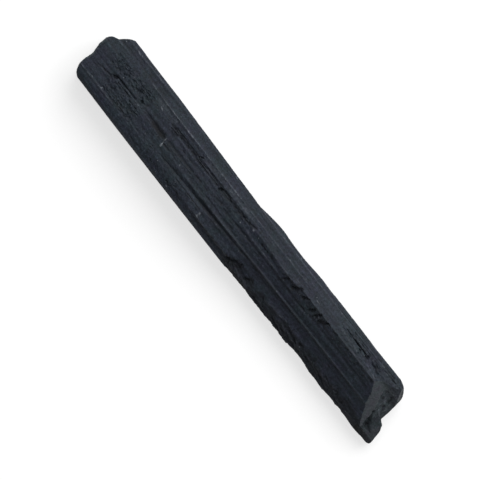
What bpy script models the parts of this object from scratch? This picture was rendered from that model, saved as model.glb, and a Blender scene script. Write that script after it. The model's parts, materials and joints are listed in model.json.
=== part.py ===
"""Black tourmaline crystal: one long striated rod, broken at both ends, lying on its flattest face.

The rod runs along X. Its broken, stepped end points to +X and its blunt end to -X.
The origin is under the middle of the rod, on the surface it rests on, and +Z is up.
"""

import math
import random

import bmesh
import bpy
from mathutils import Matrix, Vector, noise
from mathutils.bvhtree import BVHTree

LENGTH = 0.0798
WIDTH = 0.0115
HEIGHT = 0.0098

# Every place below is (along, across, up), in percent of LENGTH, WIDTH and HEIGHT.
# Along and across are measured from the middle of the rod, up from the surface it rests on.
RING_STEP = 2
ROD_REACH = 52

# The rod is a loft between its long edges, in order round the section, seen from the +X end:
# over the top from the right side to the left side, and back underneath.
LONG_EDGES = {
    "right_flank": [(-52, 48.5, 51), (-12, 44, 50), (-4, 42.5, 48), (4, 48, 46), (17, 48, 46),
                    (52, 47.5, 44)],
    "right_rim": [(-52, 50, 87), (-45, 50, 88), (-37, 49, 89), (-26, 48, 91), (-12, 44.6, 92),
                  (-3, 43.5, 91), (0, 46, 88), (2.5, 48, 84), (5, 49, 82), (8, 47.3, 85),
                  (13, 47.3, 84), (17.5, 49.4, 81), (20, 48, 82), (23, 49, 82), (35, 48, 82),
                  (41.5, 48.5, 81), (52, 48, 80)],
    "right_shoulder": [(-52, 44.5, 94), (-24, 44.5, 95), (-10, 42.3, 95), (0, 43, 93), (12, 42.6, 91),
                       (52, 41, 91)],
    "long_ridge": [(-52, 31.3, 97), (-24, 29.2, 98), (10, 29.2, 96), (52, 28, 95.5)],
    "step_top": [(-52, 19, 98), (-18, 19, 99), (-16, 20, 99.5), (-2, 19, 99), (4, 17, 98.5),
                 (10.5, 14, 98.5), (14.5, 14, 98.5), (16.5, 17.5, 99), (40, 17.5, 100),
                 (52, 19, 100)],
    "step_foot": [(-52, 16.5, 98.4), (-28, 16.5, 98.4), (-24, 16, 97), (-2, 15, 96), (4, 11.3, 94.5),
                  (10, 9, 93), (16, 11, 94), (52, 11, 94)],
    "centre_crest": [(-52, 11.3, 98.5), (-28, 11.7, 98.5), (-10, 10.9, 96.5), (4, 6.5, 93.5),
                     (10, 5.7, 92), (16, 5.2, 90), (52, 5, 90)],
    "thin_groove": [(-52, 1.7, 98.3), (-26, 0, 98.3), (-10, 1.3, 96), (4, 1, 89.5), (10, 1.5, 87),
                    (38, 3, 86), (52, 3, 87)],
    "floor_top": [(-52, -3.5, 98.2), (-26, -3.5, 98.2), (-10, -2.6, 95.3), (10, -1, 85.7),
                  (38, 0.3, 85.2), (52, 0.3, 85.7)],
    "floor_ridge": [(-52, -13, 98), (-26, -14, 97.5), (-15, -15.6, 96), (-4, -14.3, 92.4),
                    (4, -13, 85.7), (15, -12.3, 80), (52, -11, 79)],
    "long_groove": [(-52, -20, 97.3), (-24, -23, 96.4), (-14, -21.3, 92), (-4, -19, 88),
                    (4, -16.5, 81), (15, -15, 76), (52, -13.7, 75.5)],
    "groove_lip": [(-52, -25, 97), (-24, -25, 96), (-14, -23.5, 92), (-4, -21.7, 88), (12, -18.7, 73.5),
                   (52, -18.3, 72.5)],
    "low_ridge": [(-52, -31.3, 96.3), (-24, -27.8, 95.5), (-10, -27, 91), (4, -26, 77.5), (15, -26, 70),
                  (52, -25.6, 68.4)],
    "ledge_edge": [(-52, -36.5, 95), (-24, -36.5, 94), (-8, -38, 88), (0, -37.4, 79.5), (2, -36.5, 77.5),
                   (6, -31.3, 71.4), (14, -34, 68.4), (18, -31.3, 69), (30, -29.6, 66.3),
                   (34, -32.2, 65.3), (40, -29.6, 64.8), (52, -31.3, 63.3)],
    "left_shoulder": [(-52, -44, 92), (-24, -44.3, 90), (-10, -44.3, 83.7), (0, -44, 72.4),
                      (12, -42.6, 61.2), (26, -39.1, 58.2), (36, -41.7, 55), (52, -40, 53)],
    "left_rim": [(-52, -47, 86), (-45, -48, 86), (-37, -48.7, 85), (-27, -49.3, 84), (-22.5, -49.8, 82),
                 (-10, -49.8, 75.5), (-2.5, -49.7, 65), (2.5, -49.4, 57), (5, -47.8, 54),
                 (10, -47.6, 52), (15, -48.2, 50), (17.5, -47.4, 50), (22.5, -47.1, 49),
                 (25, -44.6, 49), (27.5, -44.8, 48), (30, -47.7, 46), (32.5, -47.2, 45),
                 (35, -48.5, 43), (37.6, -46, 44), (42.6, -46.2, 42), (45, -47.7, 39), (52, -46, 37)],
    "left_flank": [(-52, -47, 49), (-27, -48.5, 49), (3, -48, 41), (12, -46.5, 37), (21, -46.5, 36),
                   (26, -43.5, 35), (35, -46.5, 33), (41, -45, 33), (52, -45, 29)],
    "left_low_ridge": [(-52, -46.5, 34), (-22, -47, 32), (8, -44.5, 26), (30, -42.5, 25),
                       (52, -44, 23)],
    "left_heel": [(-52, -40, 16.5), (-14, -42, 14.5), (16, -40, 13.5), (52, -39, 11.5)],
    "base_left": [(-52, -28, 0), (-14, -29, 0), (18, -26, 0), (52, -28, 0)],
    "left_seam_in": [(-52, -17, 0), (0, -18, 0), (52, -16, 0)],
    "left_seam": [(-52, -13, 2.5), (0, -14, 3), (52, -12, 2.5)],
    "left_seam_out": [(-52, -9, 0), (0, -9, 0), (52, -8, 0)],
    "right_seam_in": [(-52, 6, 0), (0, 7, 0), (52, 6, 0)],
    "right_seam": [(-52, 11, 2), (0, 11, 2.5), (52, 10, 3)],
    "right_seam_out": [(-52, 15, 0), (0, 14, 0), (52, 15, 0)],
    "base_right": [(-52, 26, 0), (-14, 24, 0), (18, 28, 0), (52, 26, 0)],
    "right_heel": [(-52, 41, 18), (-14, 37.5, 15), (16, 42, 17), (52, 40, 16)],
    "right_low_ridge": [(-52, 46, 36), (-14, 42.5, 32), (10, 46, 33), (34, 45.5, 31), (52, 45.5, 33)],
}

# Growth lines: shallow furrows between the long edges, always cut inwards. Each reads the noise
# one NOISE_STRIDE further on, and drifts along the rod at DRIFT_RATE per percent. The edges of
# the worn top have fainter furrows after them, and those of the base have none.
FURROW_PITCH = 0.0009
FURROW_DEPTH = 0.0005
FURROW_DRIFT = 0.00014
DRIFT_RATE = 0.06
NOISE_STRIDE = 3.7
FAINT_SHARE = 0.3
FAINT_EDGES = ("right_rim", "right_shoulder", "long_ridge", "step_top", "step_foot", "centre_crest",
               "thin_groove", "floor_top", "floor_ridge", "long_groove", "groove_lip", "low_ridge",
               "ledge_edge", "left_shoulder")
FLAT_EDGES = ("base_left", "left_seam_in", "left_seam", "left_seam_out", "right_seam_in",
              "right_seam", "right_seam_out")

# Broken ends: their outlines seen from above, as (along, across) points from the right side to
# the left side. The sloping face leans back as it rises, and stays clear of the stub, which
# lies to the left of STUB_SIDE and under STUB_ROOF.
BLUNT_OUTLINE = [(-44, 58), (-46, 50), (-47, 45.2), (-48, 36.5), (-48.5, 32), (-49.7, 27.8),
                 (-50.2, 22), (-50.2, 8), (-50, 2), (-49.6, -7), (-49.5, -11), (-49.7, -20),
                 (-49.6, -29), (-49.3, -37.4), (-48.9, -42), (-48.1, -47), (-45, -58)]
STEPPED_OUTLINE = [(41, 58), (42.8, 50), (44.5, 48), (45.5, 45.2), (46.4, 41), (46.9, 36.5),
                   (47.2, 32), (47.4, 23.5), (47.6, 15), (47.8, -7), (48.1, -9), (48.9, -11.3),
                   (49.2, -16), (49.7, -20), (50, -29), (50.3, -37.4), (50.4, -42), (50.1, -45.2),
                   (49.2, -47.5), (47, -58)]
SLOPE_OUTLINE = [(46.7, 58), (47.5, 34), (48.1, 26), (48.6, 8), (48.9, -4), (49.1, -20), (49.2, -58)]
SLOPE_LEAN = -0.0497
STUB_SIDE = -11
STUB_ROOF = 44

# The smooth strip over the stepped end: one place on it, and how many percent of HEIGHT it
# rises for one percent of LENGTH and of WIDTH.
STRIP_PLACE = (41.5, 5.4, 89.3)
STRIP_RISE_ALONG = -4.62
STRIP_RISE_ACROSS = 0.23

# Breaks are rough sheets. Most reach past the rod on every side; the slope starts at SLOPE_FROM
# up, and the strip spans STRIP_ACROSS and STRIP_ALONG. Each has its own place in the noise.
ALL_ACROSS = (-58, 58)
ALL_UP = (-8, 112)
SLOPE_FROM = 20
STRIP_ACROSS = (-58, 40)
STRIP_ALONG = (38, 52)
BLUNT_SEED, STEPPED_SEED, SLOPE_SEED, STRIP_SEED = 11, 23, 37, 41
ROUGHNESS = 0.0003
ROUGH_GRAIN = 0.0022
SLOPE_ROUGHNESS = 0.00045
STRIP_ROUGHNESS = 0.00009
SHEET_PITCH = 0.00085

# Gouges on top: (along, across), then length, width and depth in millimetres, then the turn in
# degrees seen from above.
TOP_GOUGES = {
    "slot_pit": ((-42.2, -3.5), (0.9, 0.7, 0.6), 35),
    "slot_west": ((-39, -2), (5.8, 0.5, 0.4), 0),
    "slot_pocket": ((-35, 3.5), (0.8, 0.7, 0.5), 50),
    "slot_east": ((-29.3, -3), (8.2, 0.9, 0.6), -4),
    "upper_groove_west": ((-21.8, 17.5), (7.6, 0.7, 0.5), 1),
    "upper_groove_nick": ((-17.8, 21.5), (1.3, 0.5, 0.4), 48),
    "upper_groove_middle": ((-13.5, 16.5), (6.4, 0.6, 0.5), 0),
    "upper_groove_east": ((-5.4, 16.5), (8.6, 0.9, 0.6), 2),
    "step_bite_1": ((12.9, 10), (1.5, 0.9, 0.7), 60),
    "step_bite_2": ((15.7, 13), (2.0, 0.8, 0.8), 50),
    "step_bite_3": ((18.5, 15), (1.3, 0.7, 0.7), 45),
    "step_bite_4": ((21.2, 10.5), (1.5, 0.7, 0.6), 65),
    "step_bite_5": ((22.9, 12.5), (1.5, 0.7, 0.7), 60),
    "step_bite_6": ((24.6, 13), (2.0, 0.8, 0.8), 40),
    "shoulder_crack": ((32.2, 33.5), (4.0, 0.5, 0.5), -1),
    "left_scoop": ((3.1, -39), (4.0, 1.6, 1.0), 36),
}
STUB_POCKET = ((46.9, -25, 43), (2.2, 2.2, 1.0), 0)
JAGGEDNESS = 0.35
DENT_RATE = 1.7

# Shallow chips off the top's left edge: (along, across), then length, width and depth in
# millimetres, then the turn seen from above and the lean towards the left side, in degrees.
LEFT_CHIPS = [
    ((5.6, -44), (3.2, 2.4, 0.50), 12, 50),
    ((8.8, -41), (3.6, 2.2, 0.45), -14, 36),
    ((12.2, -46), (3.4, 2.6, 0.55), 16, 62),
    ((15.4, -41), (3.0, 2.2, 0.45), -18, 38),
    ((18.4, -44), (3.8, 2.4, 0.45), 14, 46),
    ((22.8, -42), (4.6, 2.6, 0.60), -8, 55),
    ((27.2, -41), (4.0, 2.4, 0.50), 18, 42),
    ((31.4, -44), (4.2, 2.4, 0.50), -12, 52),
    ((35.2, -41), (3.2, 2.2, 0.50), 16, 40),
    ((38.6, -44), (3.8, 2.6, 0.55), -16, 56),
    ((42.4, -41), (3.2, 2.2, 0.40), 10, 44),
]
CHIP_LIFT = 2.0

# Splits along the hidden sides: how many, between which angles round the rod in degrees from
# the top towards the right side, and their smallest and largest length, width and depth in
# millimetres.
SIDE_SPLITS = 14
SPLIT_RANGES = ((66, 128), (-128, -72))
SPLIT_SIZES = ((5, 16), (0.9, 1.8), (0.25, 0.45))
SPLIT_LIFT = 1.0
SPLIT_SEED = 5
SPLIT_REACH = 42


def at(along, across, up):
    """The point for a place given in percent of the rod's length, width and height."""
    return Vector((along * LENGTH, across * WIDTH, up * HEIGHT)) / 100


def between(points, place):
    """The value at a place on a line through (place, value) points, straight between them."""
    for (start, first), (end, last) in zip(points, points[1:]):
        if place <= end:
            break
    share = (place - start) / (end - start)
    return first + (last - first) * min(max(share, 0.0), 1.0)


def edge_point(edge, along):
    """Where a long edge crosses the section at this place along the rod."""
    across = between([(station, side) for station, side, _ in edge], along)
    up = between([(station, height) for station, _, height in edge], along)
    return at(along, across, up)


def furrow_depth(along, number):
    """How deep one furrow is at this place: its own depth, drifting slowly along the rod."""
    own = abs(noise.noise(Vector((number * NOISE_STRIDE, 0.5, 1.5))))
    drift = noise.noise(Vector((along * DRIFT_RATE, number * NOISE_STRIDE, 8.5)))
    return min(FURROW_DEPTH * 2 * own + FURROW_DRIFT * (1 + drift), FURROW_PITCH / 2)


def furrow_counts():
    """How many furrows fit between each long edge and the next, at the middle of the rod."""
    middle = [edge_point(edge, 0) for edge in LONG_EDGES.values()]
    gaps = [(following - corner).length for corner, following in zip(middle, middle[1:] + middle[:1])]
    return [0 if name in FLAT_EDGES else round(gap / FURROW_PITCH)
            for name, gap in zip(LONG_EDGES, gaps)]


def section_ring(along, counts):
    """The rod's section at this place: its long edges, with furrows between them."""
    corners = [edge_point(edge, along) for edge in LONG_EDGES.values()]
    ring = []
    for name, corner, following, count in zip(LONG_EDGES, corners, corners[1:] + corners[:1], counts):
        ring.append(corner)
        face = following - corner
        inward = Vector((0, -face.z, face.y)).normalized()
        share = FAINT_SHARE if name in FAINT_EDGES else 1.0
        for step in range(1, count + 1):
            depth = furrow_depth(along, len(ring)) * share
            ring.append(corner + face * step / (count + 1) + inward * depth)
    return ring


def add_object(name, mesh_data, collection):
    """A new object holding the finished bmesh, linked into a collection."""
    bmesh.ops.recalc_face_normals(mesh_data, faces=mesh_data.faces)
    mesh = bpy.data.meshes.new(name)
    mesh_data.to_mesh(mesh)
    mesh_data.free()
    made = bpy.data.objects.new(name, mesh)
    collection.objects.link(made)
    return made


def add_cutter(name, mesh_data, collection):
    """A cutter, which is drawn as wires and never rendered."""
    cutter = add_object(name, mesh_data, collection)
    cutter.hide_render = True
    cutter.display_type = "WIRE"
    return cutter


def striated_rod(collection):
    """The whole rod before its ends break off: rings of points, joined from end to end.

    It returns the rod, and its surface for finding places on it.
    """
    counts = furrow_counts()
    mesh_data = bmesh.new()
    rings = []
    for along in range(-ROD_REACH, ROD_REACH + 1, RING_STEP):
        rings.append([mesh_data.verts.new(point) for point in section_ring(along, counts)])
    for ring, following in zip(rings, rings[1:]):
        for i in range(len(ring)):
            j = (i + 1) % len(ring)
            mesh_data.faces.new((ring[i], ring[j], following[j], following[i]))
    mesh_data.faces.new(rings[0])
    mesh_data.faces.new(rings[-1])
    bmesh.ops.triangulate(mesh_data, faces=mesh_data.faces)
    surface = BVHTree.FromBMesh(mesh_data)
    return add_object("crystal", mesh_data, collection), surface


def rough(point, seed):
    """A smooth random height for a broken surface, between about -1 and 1."""
    return noise.fractal(point / ROUGH_GRAIN + Vector((seed, 0, 0)), 0.8, 2.0, 3)


def add_break(name, across, second, surface, push, collection):
    """A block that breaks part of the rod away.

    Its inner face is a rough sheet: surface(across, second) gives its points, over the two
    ranges given. The sheet is pushed outwards to make the block solid.
    """
    mesh_data = bmesh.new()
    corner = surface(across[0], second[0])
    columns = round((surface(across[1], second[0]) - corner).length / SHEET_PITCH)
    rows = round((surface(across[0], second[1]) - corner).length / SHEET_PITCH)
    bmesh.ops.create_grid(mesh_data, x_segments=columns, y_segments=rows, size=1.0)
    for vertex in mesh_data.verts:
        vertex.co = surface(between([(-1, across[0]), (1, across[1])], vertex.co.x),
                            between([(-1, second[0]), (1, second[1])], vertex.co.y))
    sheet = bmesh.ops.extrude_face_region(mesh_data, geom=mesh_data.faces[:])
    pushed = [item for item in sheet["geom"] if isinstance(item, bmesh.types.BMVert)]
    bmesh.ops.translate(mesh_data, verts=pushed, vec=push)
    bmesh.ops.triangulate(mesh_data, faces=mesh_data.faces)
    return add_cutter(name, mesh_data, collection)


def outline_at(outline, across):
    """How far along an end's outline lies at this place across."""
    return between([(-side, along) for along, side in outline], -across)


def blunt_end(across, up):
    """The blunt end: three lobes in outline, nearly upright."""
    point = at(outline_at(BLUNT_OUTLINE, across), across, up)
    point.x += ROUGHNESS * (1 + rough(point, BLUNT_SEED))
    return point


def stepped_end(across, up):
    """The outline of the stepped end, with the stub reaching furthest."""
    point = at(outline_at(STEPPED_OUTLINE, across), across, up)
    point.x -= ROUGHNESS * (1 + rough(point, STEPPED_SEED))
    return point


def sloping_end(across, up):
    """The steep face above the stub, leaning back as it rises."""
    point = at(outline_at(SLOPE_OUTLINE, across) + SLOPE_LEAN * up, across, up)
    point.x += SLOPE_ROUGHNESS * rough(point, SLOPE_SEED)
    return point


def fresh_strip(across, along):
    """The smooth slanting strip that cuts off the top of the stepped end."""
    place_along, place_across, place_up = STRIP_PLACE
    rise = STRIP_RISE_ALONG * (along - place_along) + STRIP_RISE_ACROSS * (across - place_across)
    point = at(along, across, place_up + rise)
    point.z += STRIP_ROUGHNESS * rough(point, STRIP_SEED)
    return point


def add_breaks(collection):
    """The blocks that break both ends of the rod."""
    left, right = ALL_ACROSS
    top = ALL_UP[1]
    outwards = at(12, 0, 0)
    falling = at(12, 0, -14)
    skywards = at(6, 0, 60)
    add_break("blunt_end", ALL_ACROSS, ALL_UP, blunt_end, -outwards, collection)
    add_break("stepped_end", ALL_ACROSS, ALL_UP, stepped_end, outwards, collection)
    add_break("sloping_end", (STUB_SIDE, right), (SLOPE_FROM, top), sloping_end, outwards, collection)
    add_break("above_stub", (left, STUB_SIDE + 1), (STUB_ROOF, top), sloping_end, falling, collection)
    add_break("fresh_strip", STRIP_ACROSS, STRIP_ALONG, fresh_strip, skywards, collection)


def add_gouge(name, point, outwards, size, turn, lift, collection):
    """A jagged hollow: a small faceted ball, dented, stretched, turned and sunk into the surface.

    Its size is that of the hollow. The more lift, the flatter its sides: the ball is bigger,
    and its middle stands that many depths above the surface.
    """
    mesh_data = bmesh.new()
    bmesh.ops.create_icosphere(mesh_data, subdivisions=1, radius=1.0)
    for vertex in mesh_data.verts:
        vertex.co *= 1 + JAGGEDNESS * noise.noise(vertex.co * DENT_RATE + point * 1000)
    length, width, depth = (millimetres / 1000 for millimetres in size)
    mouth = math.sqrt(1 - (lift / (lift + 1)) ** 2)
    stretch = Matrix.Diagonal((length / 2 / mouth, width / 2 / mouth, depth * (lift + 1), 1))
    raised = Matrix.Translation((0, 0, lift * depth))
    turned = Matrix.Rotation(math.radians(turn), 4, "Z")
    lean = Vector((0, 0, 1)).rotation_difference(outwards).to_matrix().to_4x4()
    place = Matrix.Translation(point) @ lean @ turned @ raised @ stretch
    bmesh.ops.transform(mesh_data, matrix=place, verts=mesh_data.verts)
    return add_cutter(name, mesh_data, collection)


def surface_point(surface, target, outwards):
    """Where a line that comes in from outside towards the target first meets the rod."""
    start = target + outwards * (WIDTH + HEIGHT)
    return surface.ray_cast(start, -outwards)[0]


def round_the_rod(degrees):
    """The direction at an angle round the rod, from the top towards the right side."""
    angle = math.radians(degrees)
    return Vector((0, math.sin(angle), math.cos(angle)))


def add_hollows(surface, collection):
    """The gouges on top, the pocket behind the stub, the left edge's chips and the side splits."""
    upwards = round_the_rod(0)
    for name, ((along, across), size, turn) in TOP_GOUGES.items():
        point = surface_point(surface, at(along, across, 50), upwards)
        add_gouge(name, point, upwards, size, turn, 0, collection)
    place, size, turn = STUB_POCKET
    add_gouge("stub_pocket", at(*place), upwards, size, turn, 0, collection)
    for number, ((along, across), size, turn, lean) in enumerate(LEFT_CHIPS, start=1):
        point = surface_point(surface, at(along, across, 50), upwards)
        outwards = round_the_rod(-lean)
        add_gouge(f"left_chip_{number}", point, outwards, size, turn, CHIP_LIFT, collection)
    choice = random.Random(SPLIT_SEED)
    for number in range(SIDE_SPLITS):
        outwards = round_the_rod(choice.uniform(*SPLIT_RANGES[number % len(SPLIT_RANGES)]))
        along = SPLIT_REACH * (2 * (number + choice.random()) / SIDE_SPLITS - 1)
        size = [choice.uniform(*limits) for limits in SPLIT_SIZES]
        point = surface_point(surface, at(along, 0, 50), outwards)
        add_gouge(f"side_split_{number + 1}", point, outwards, size, 0, SPLIT_LIFT, collection)


def black_tourmaline():
    """Opaque, faintly blue black with a dull gloss."""
    material = bpy.data.materials.new("black_tourmaline")
    material.use_nodes = True
    shader = material.node_tree.nodes["Principled BSDF"]
    shader.inputs["Base Color"].default_value = (0.028, 0.031, 0.037, 1)
    shader.inputs["Roughness"].default_value = 0.5
    shader.inputs["Metallic"].default_value = 0.0
    return material


def new_collection(name):
    """An empty collection in the scene."""
    collection = bpy.data.collections.new(name)
    bpy.context.scene.collection.children.link(collection)
    return collection


def main():
    """Clear the scene, then model the crystal and everything that breaks or gouges it."""
    for leftover in list(bpy.data.objects):
        bpy.data.objects.remove(leftover)
    parts = new_collection("tourmaline_crystal")
    cutters = new_collection("cutters")
    crystal, surface = striated_rod(parts)
    crystal.data.materials.append(black_tourmaline())
    add_breaks(cutters)
    add_hollows(surface, cutters)
    for cutter in cutters.objects:
        cut = crystal.modifiers.new(cutter.name, "BOOLEAN")
        cut.operation = "DIFFERENCE"
        cut.solver = "EXACT"
        cut.object = cutter


main()
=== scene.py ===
import json
import math

import bmesh
import bpy
import numpy as np
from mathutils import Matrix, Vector, noise

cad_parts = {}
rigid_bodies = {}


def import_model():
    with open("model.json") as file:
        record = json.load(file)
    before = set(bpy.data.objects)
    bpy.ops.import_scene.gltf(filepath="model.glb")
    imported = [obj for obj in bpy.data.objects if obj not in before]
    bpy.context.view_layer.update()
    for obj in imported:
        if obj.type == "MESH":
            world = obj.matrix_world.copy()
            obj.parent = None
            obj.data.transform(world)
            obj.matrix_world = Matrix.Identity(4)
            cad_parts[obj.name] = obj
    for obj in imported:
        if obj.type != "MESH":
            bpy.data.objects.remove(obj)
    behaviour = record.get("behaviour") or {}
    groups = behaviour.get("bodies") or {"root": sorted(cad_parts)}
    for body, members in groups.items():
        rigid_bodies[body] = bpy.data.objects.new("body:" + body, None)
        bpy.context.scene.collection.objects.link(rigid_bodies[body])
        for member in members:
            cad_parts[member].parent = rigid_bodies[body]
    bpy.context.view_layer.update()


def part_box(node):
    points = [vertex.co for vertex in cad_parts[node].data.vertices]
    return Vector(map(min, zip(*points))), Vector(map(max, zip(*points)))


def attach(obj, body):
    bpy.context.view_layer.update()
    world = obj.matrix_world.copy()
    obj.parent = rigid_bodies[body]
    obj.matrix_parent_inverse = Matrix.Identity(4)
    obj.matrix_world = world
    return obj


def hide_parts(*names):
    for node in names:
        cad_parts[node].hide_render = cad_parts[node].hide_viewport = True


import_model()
lowCorner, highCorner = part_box("crystal")

# Places and sizes are in millimetres of the crystal: x along it, y across it, z up from the surface
# it rests on. The lists count x from a place just short of the crystal's middle.
crystal = {
    "length": 79.91,
    "listMiddle": 0.15,
    "topFrom": 3,               # marks on top reach no lower than this
    "endFrom": 33,              # the stepped end begins here
}
mm = (highCorner.x - lowCorner.x) / crystal["length"]


def between(points, places):  # values at places on a line through (place, value) points
    stops, values = zip(*points)
    return np.interp(places, stops, values)


def outlineX(points, y):  # how far along the rod an outline of (x, y) points from right to left is
    return between([(across, along) for along, across in reversed(points)], y)


def eased(values, stations, reach, samples=7):  # a running mean takes the corners off a line
    shifts = np.linspace(-reach / 2, reach / 2, samples)
    return np.mean([np.interp(stations + shift, stations, values) for shift in shifts], axis=0)


def noiseAt(points, seed):  # smooth noise, one value for each point; seed picks another stretch of it
    shape = points.shape[:-1]
    flat = points.reshape(-1, 3) + seed
    return np.fromiter((noise.noise(Vector(point)) for point in flat), float, len(flat)).reshape(shape)


def noiseAlong(x, size, seed):  # changing only along the rod
    return noiseAt(np.stack([x / size, x * 0, x * 0], axis=-1), seed)


def fractalAt(points, octaves, seed, seedStep=7.3):  # with finer and finer layers
    total = np.zeros(points.shape[:-1])
    for octave in range(octaves):
        total += noiseAt(points * 2 ** octave, seed + seedStep * octave) / 2 ** octave
    return total


def chanceAt(values, seed, scatter=43758.5453):  # a repeatable chance from 0 to 1 for each value
    return np.sin(values + seed) * scatter % 1


def softStep(values, start, end):  # 0 at start, 1 at end and eased between, rising or falling
    share = np.clip((values - start) / (end - start), 0, 1)
    return share * share * (3 - 2 * share)


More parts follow.
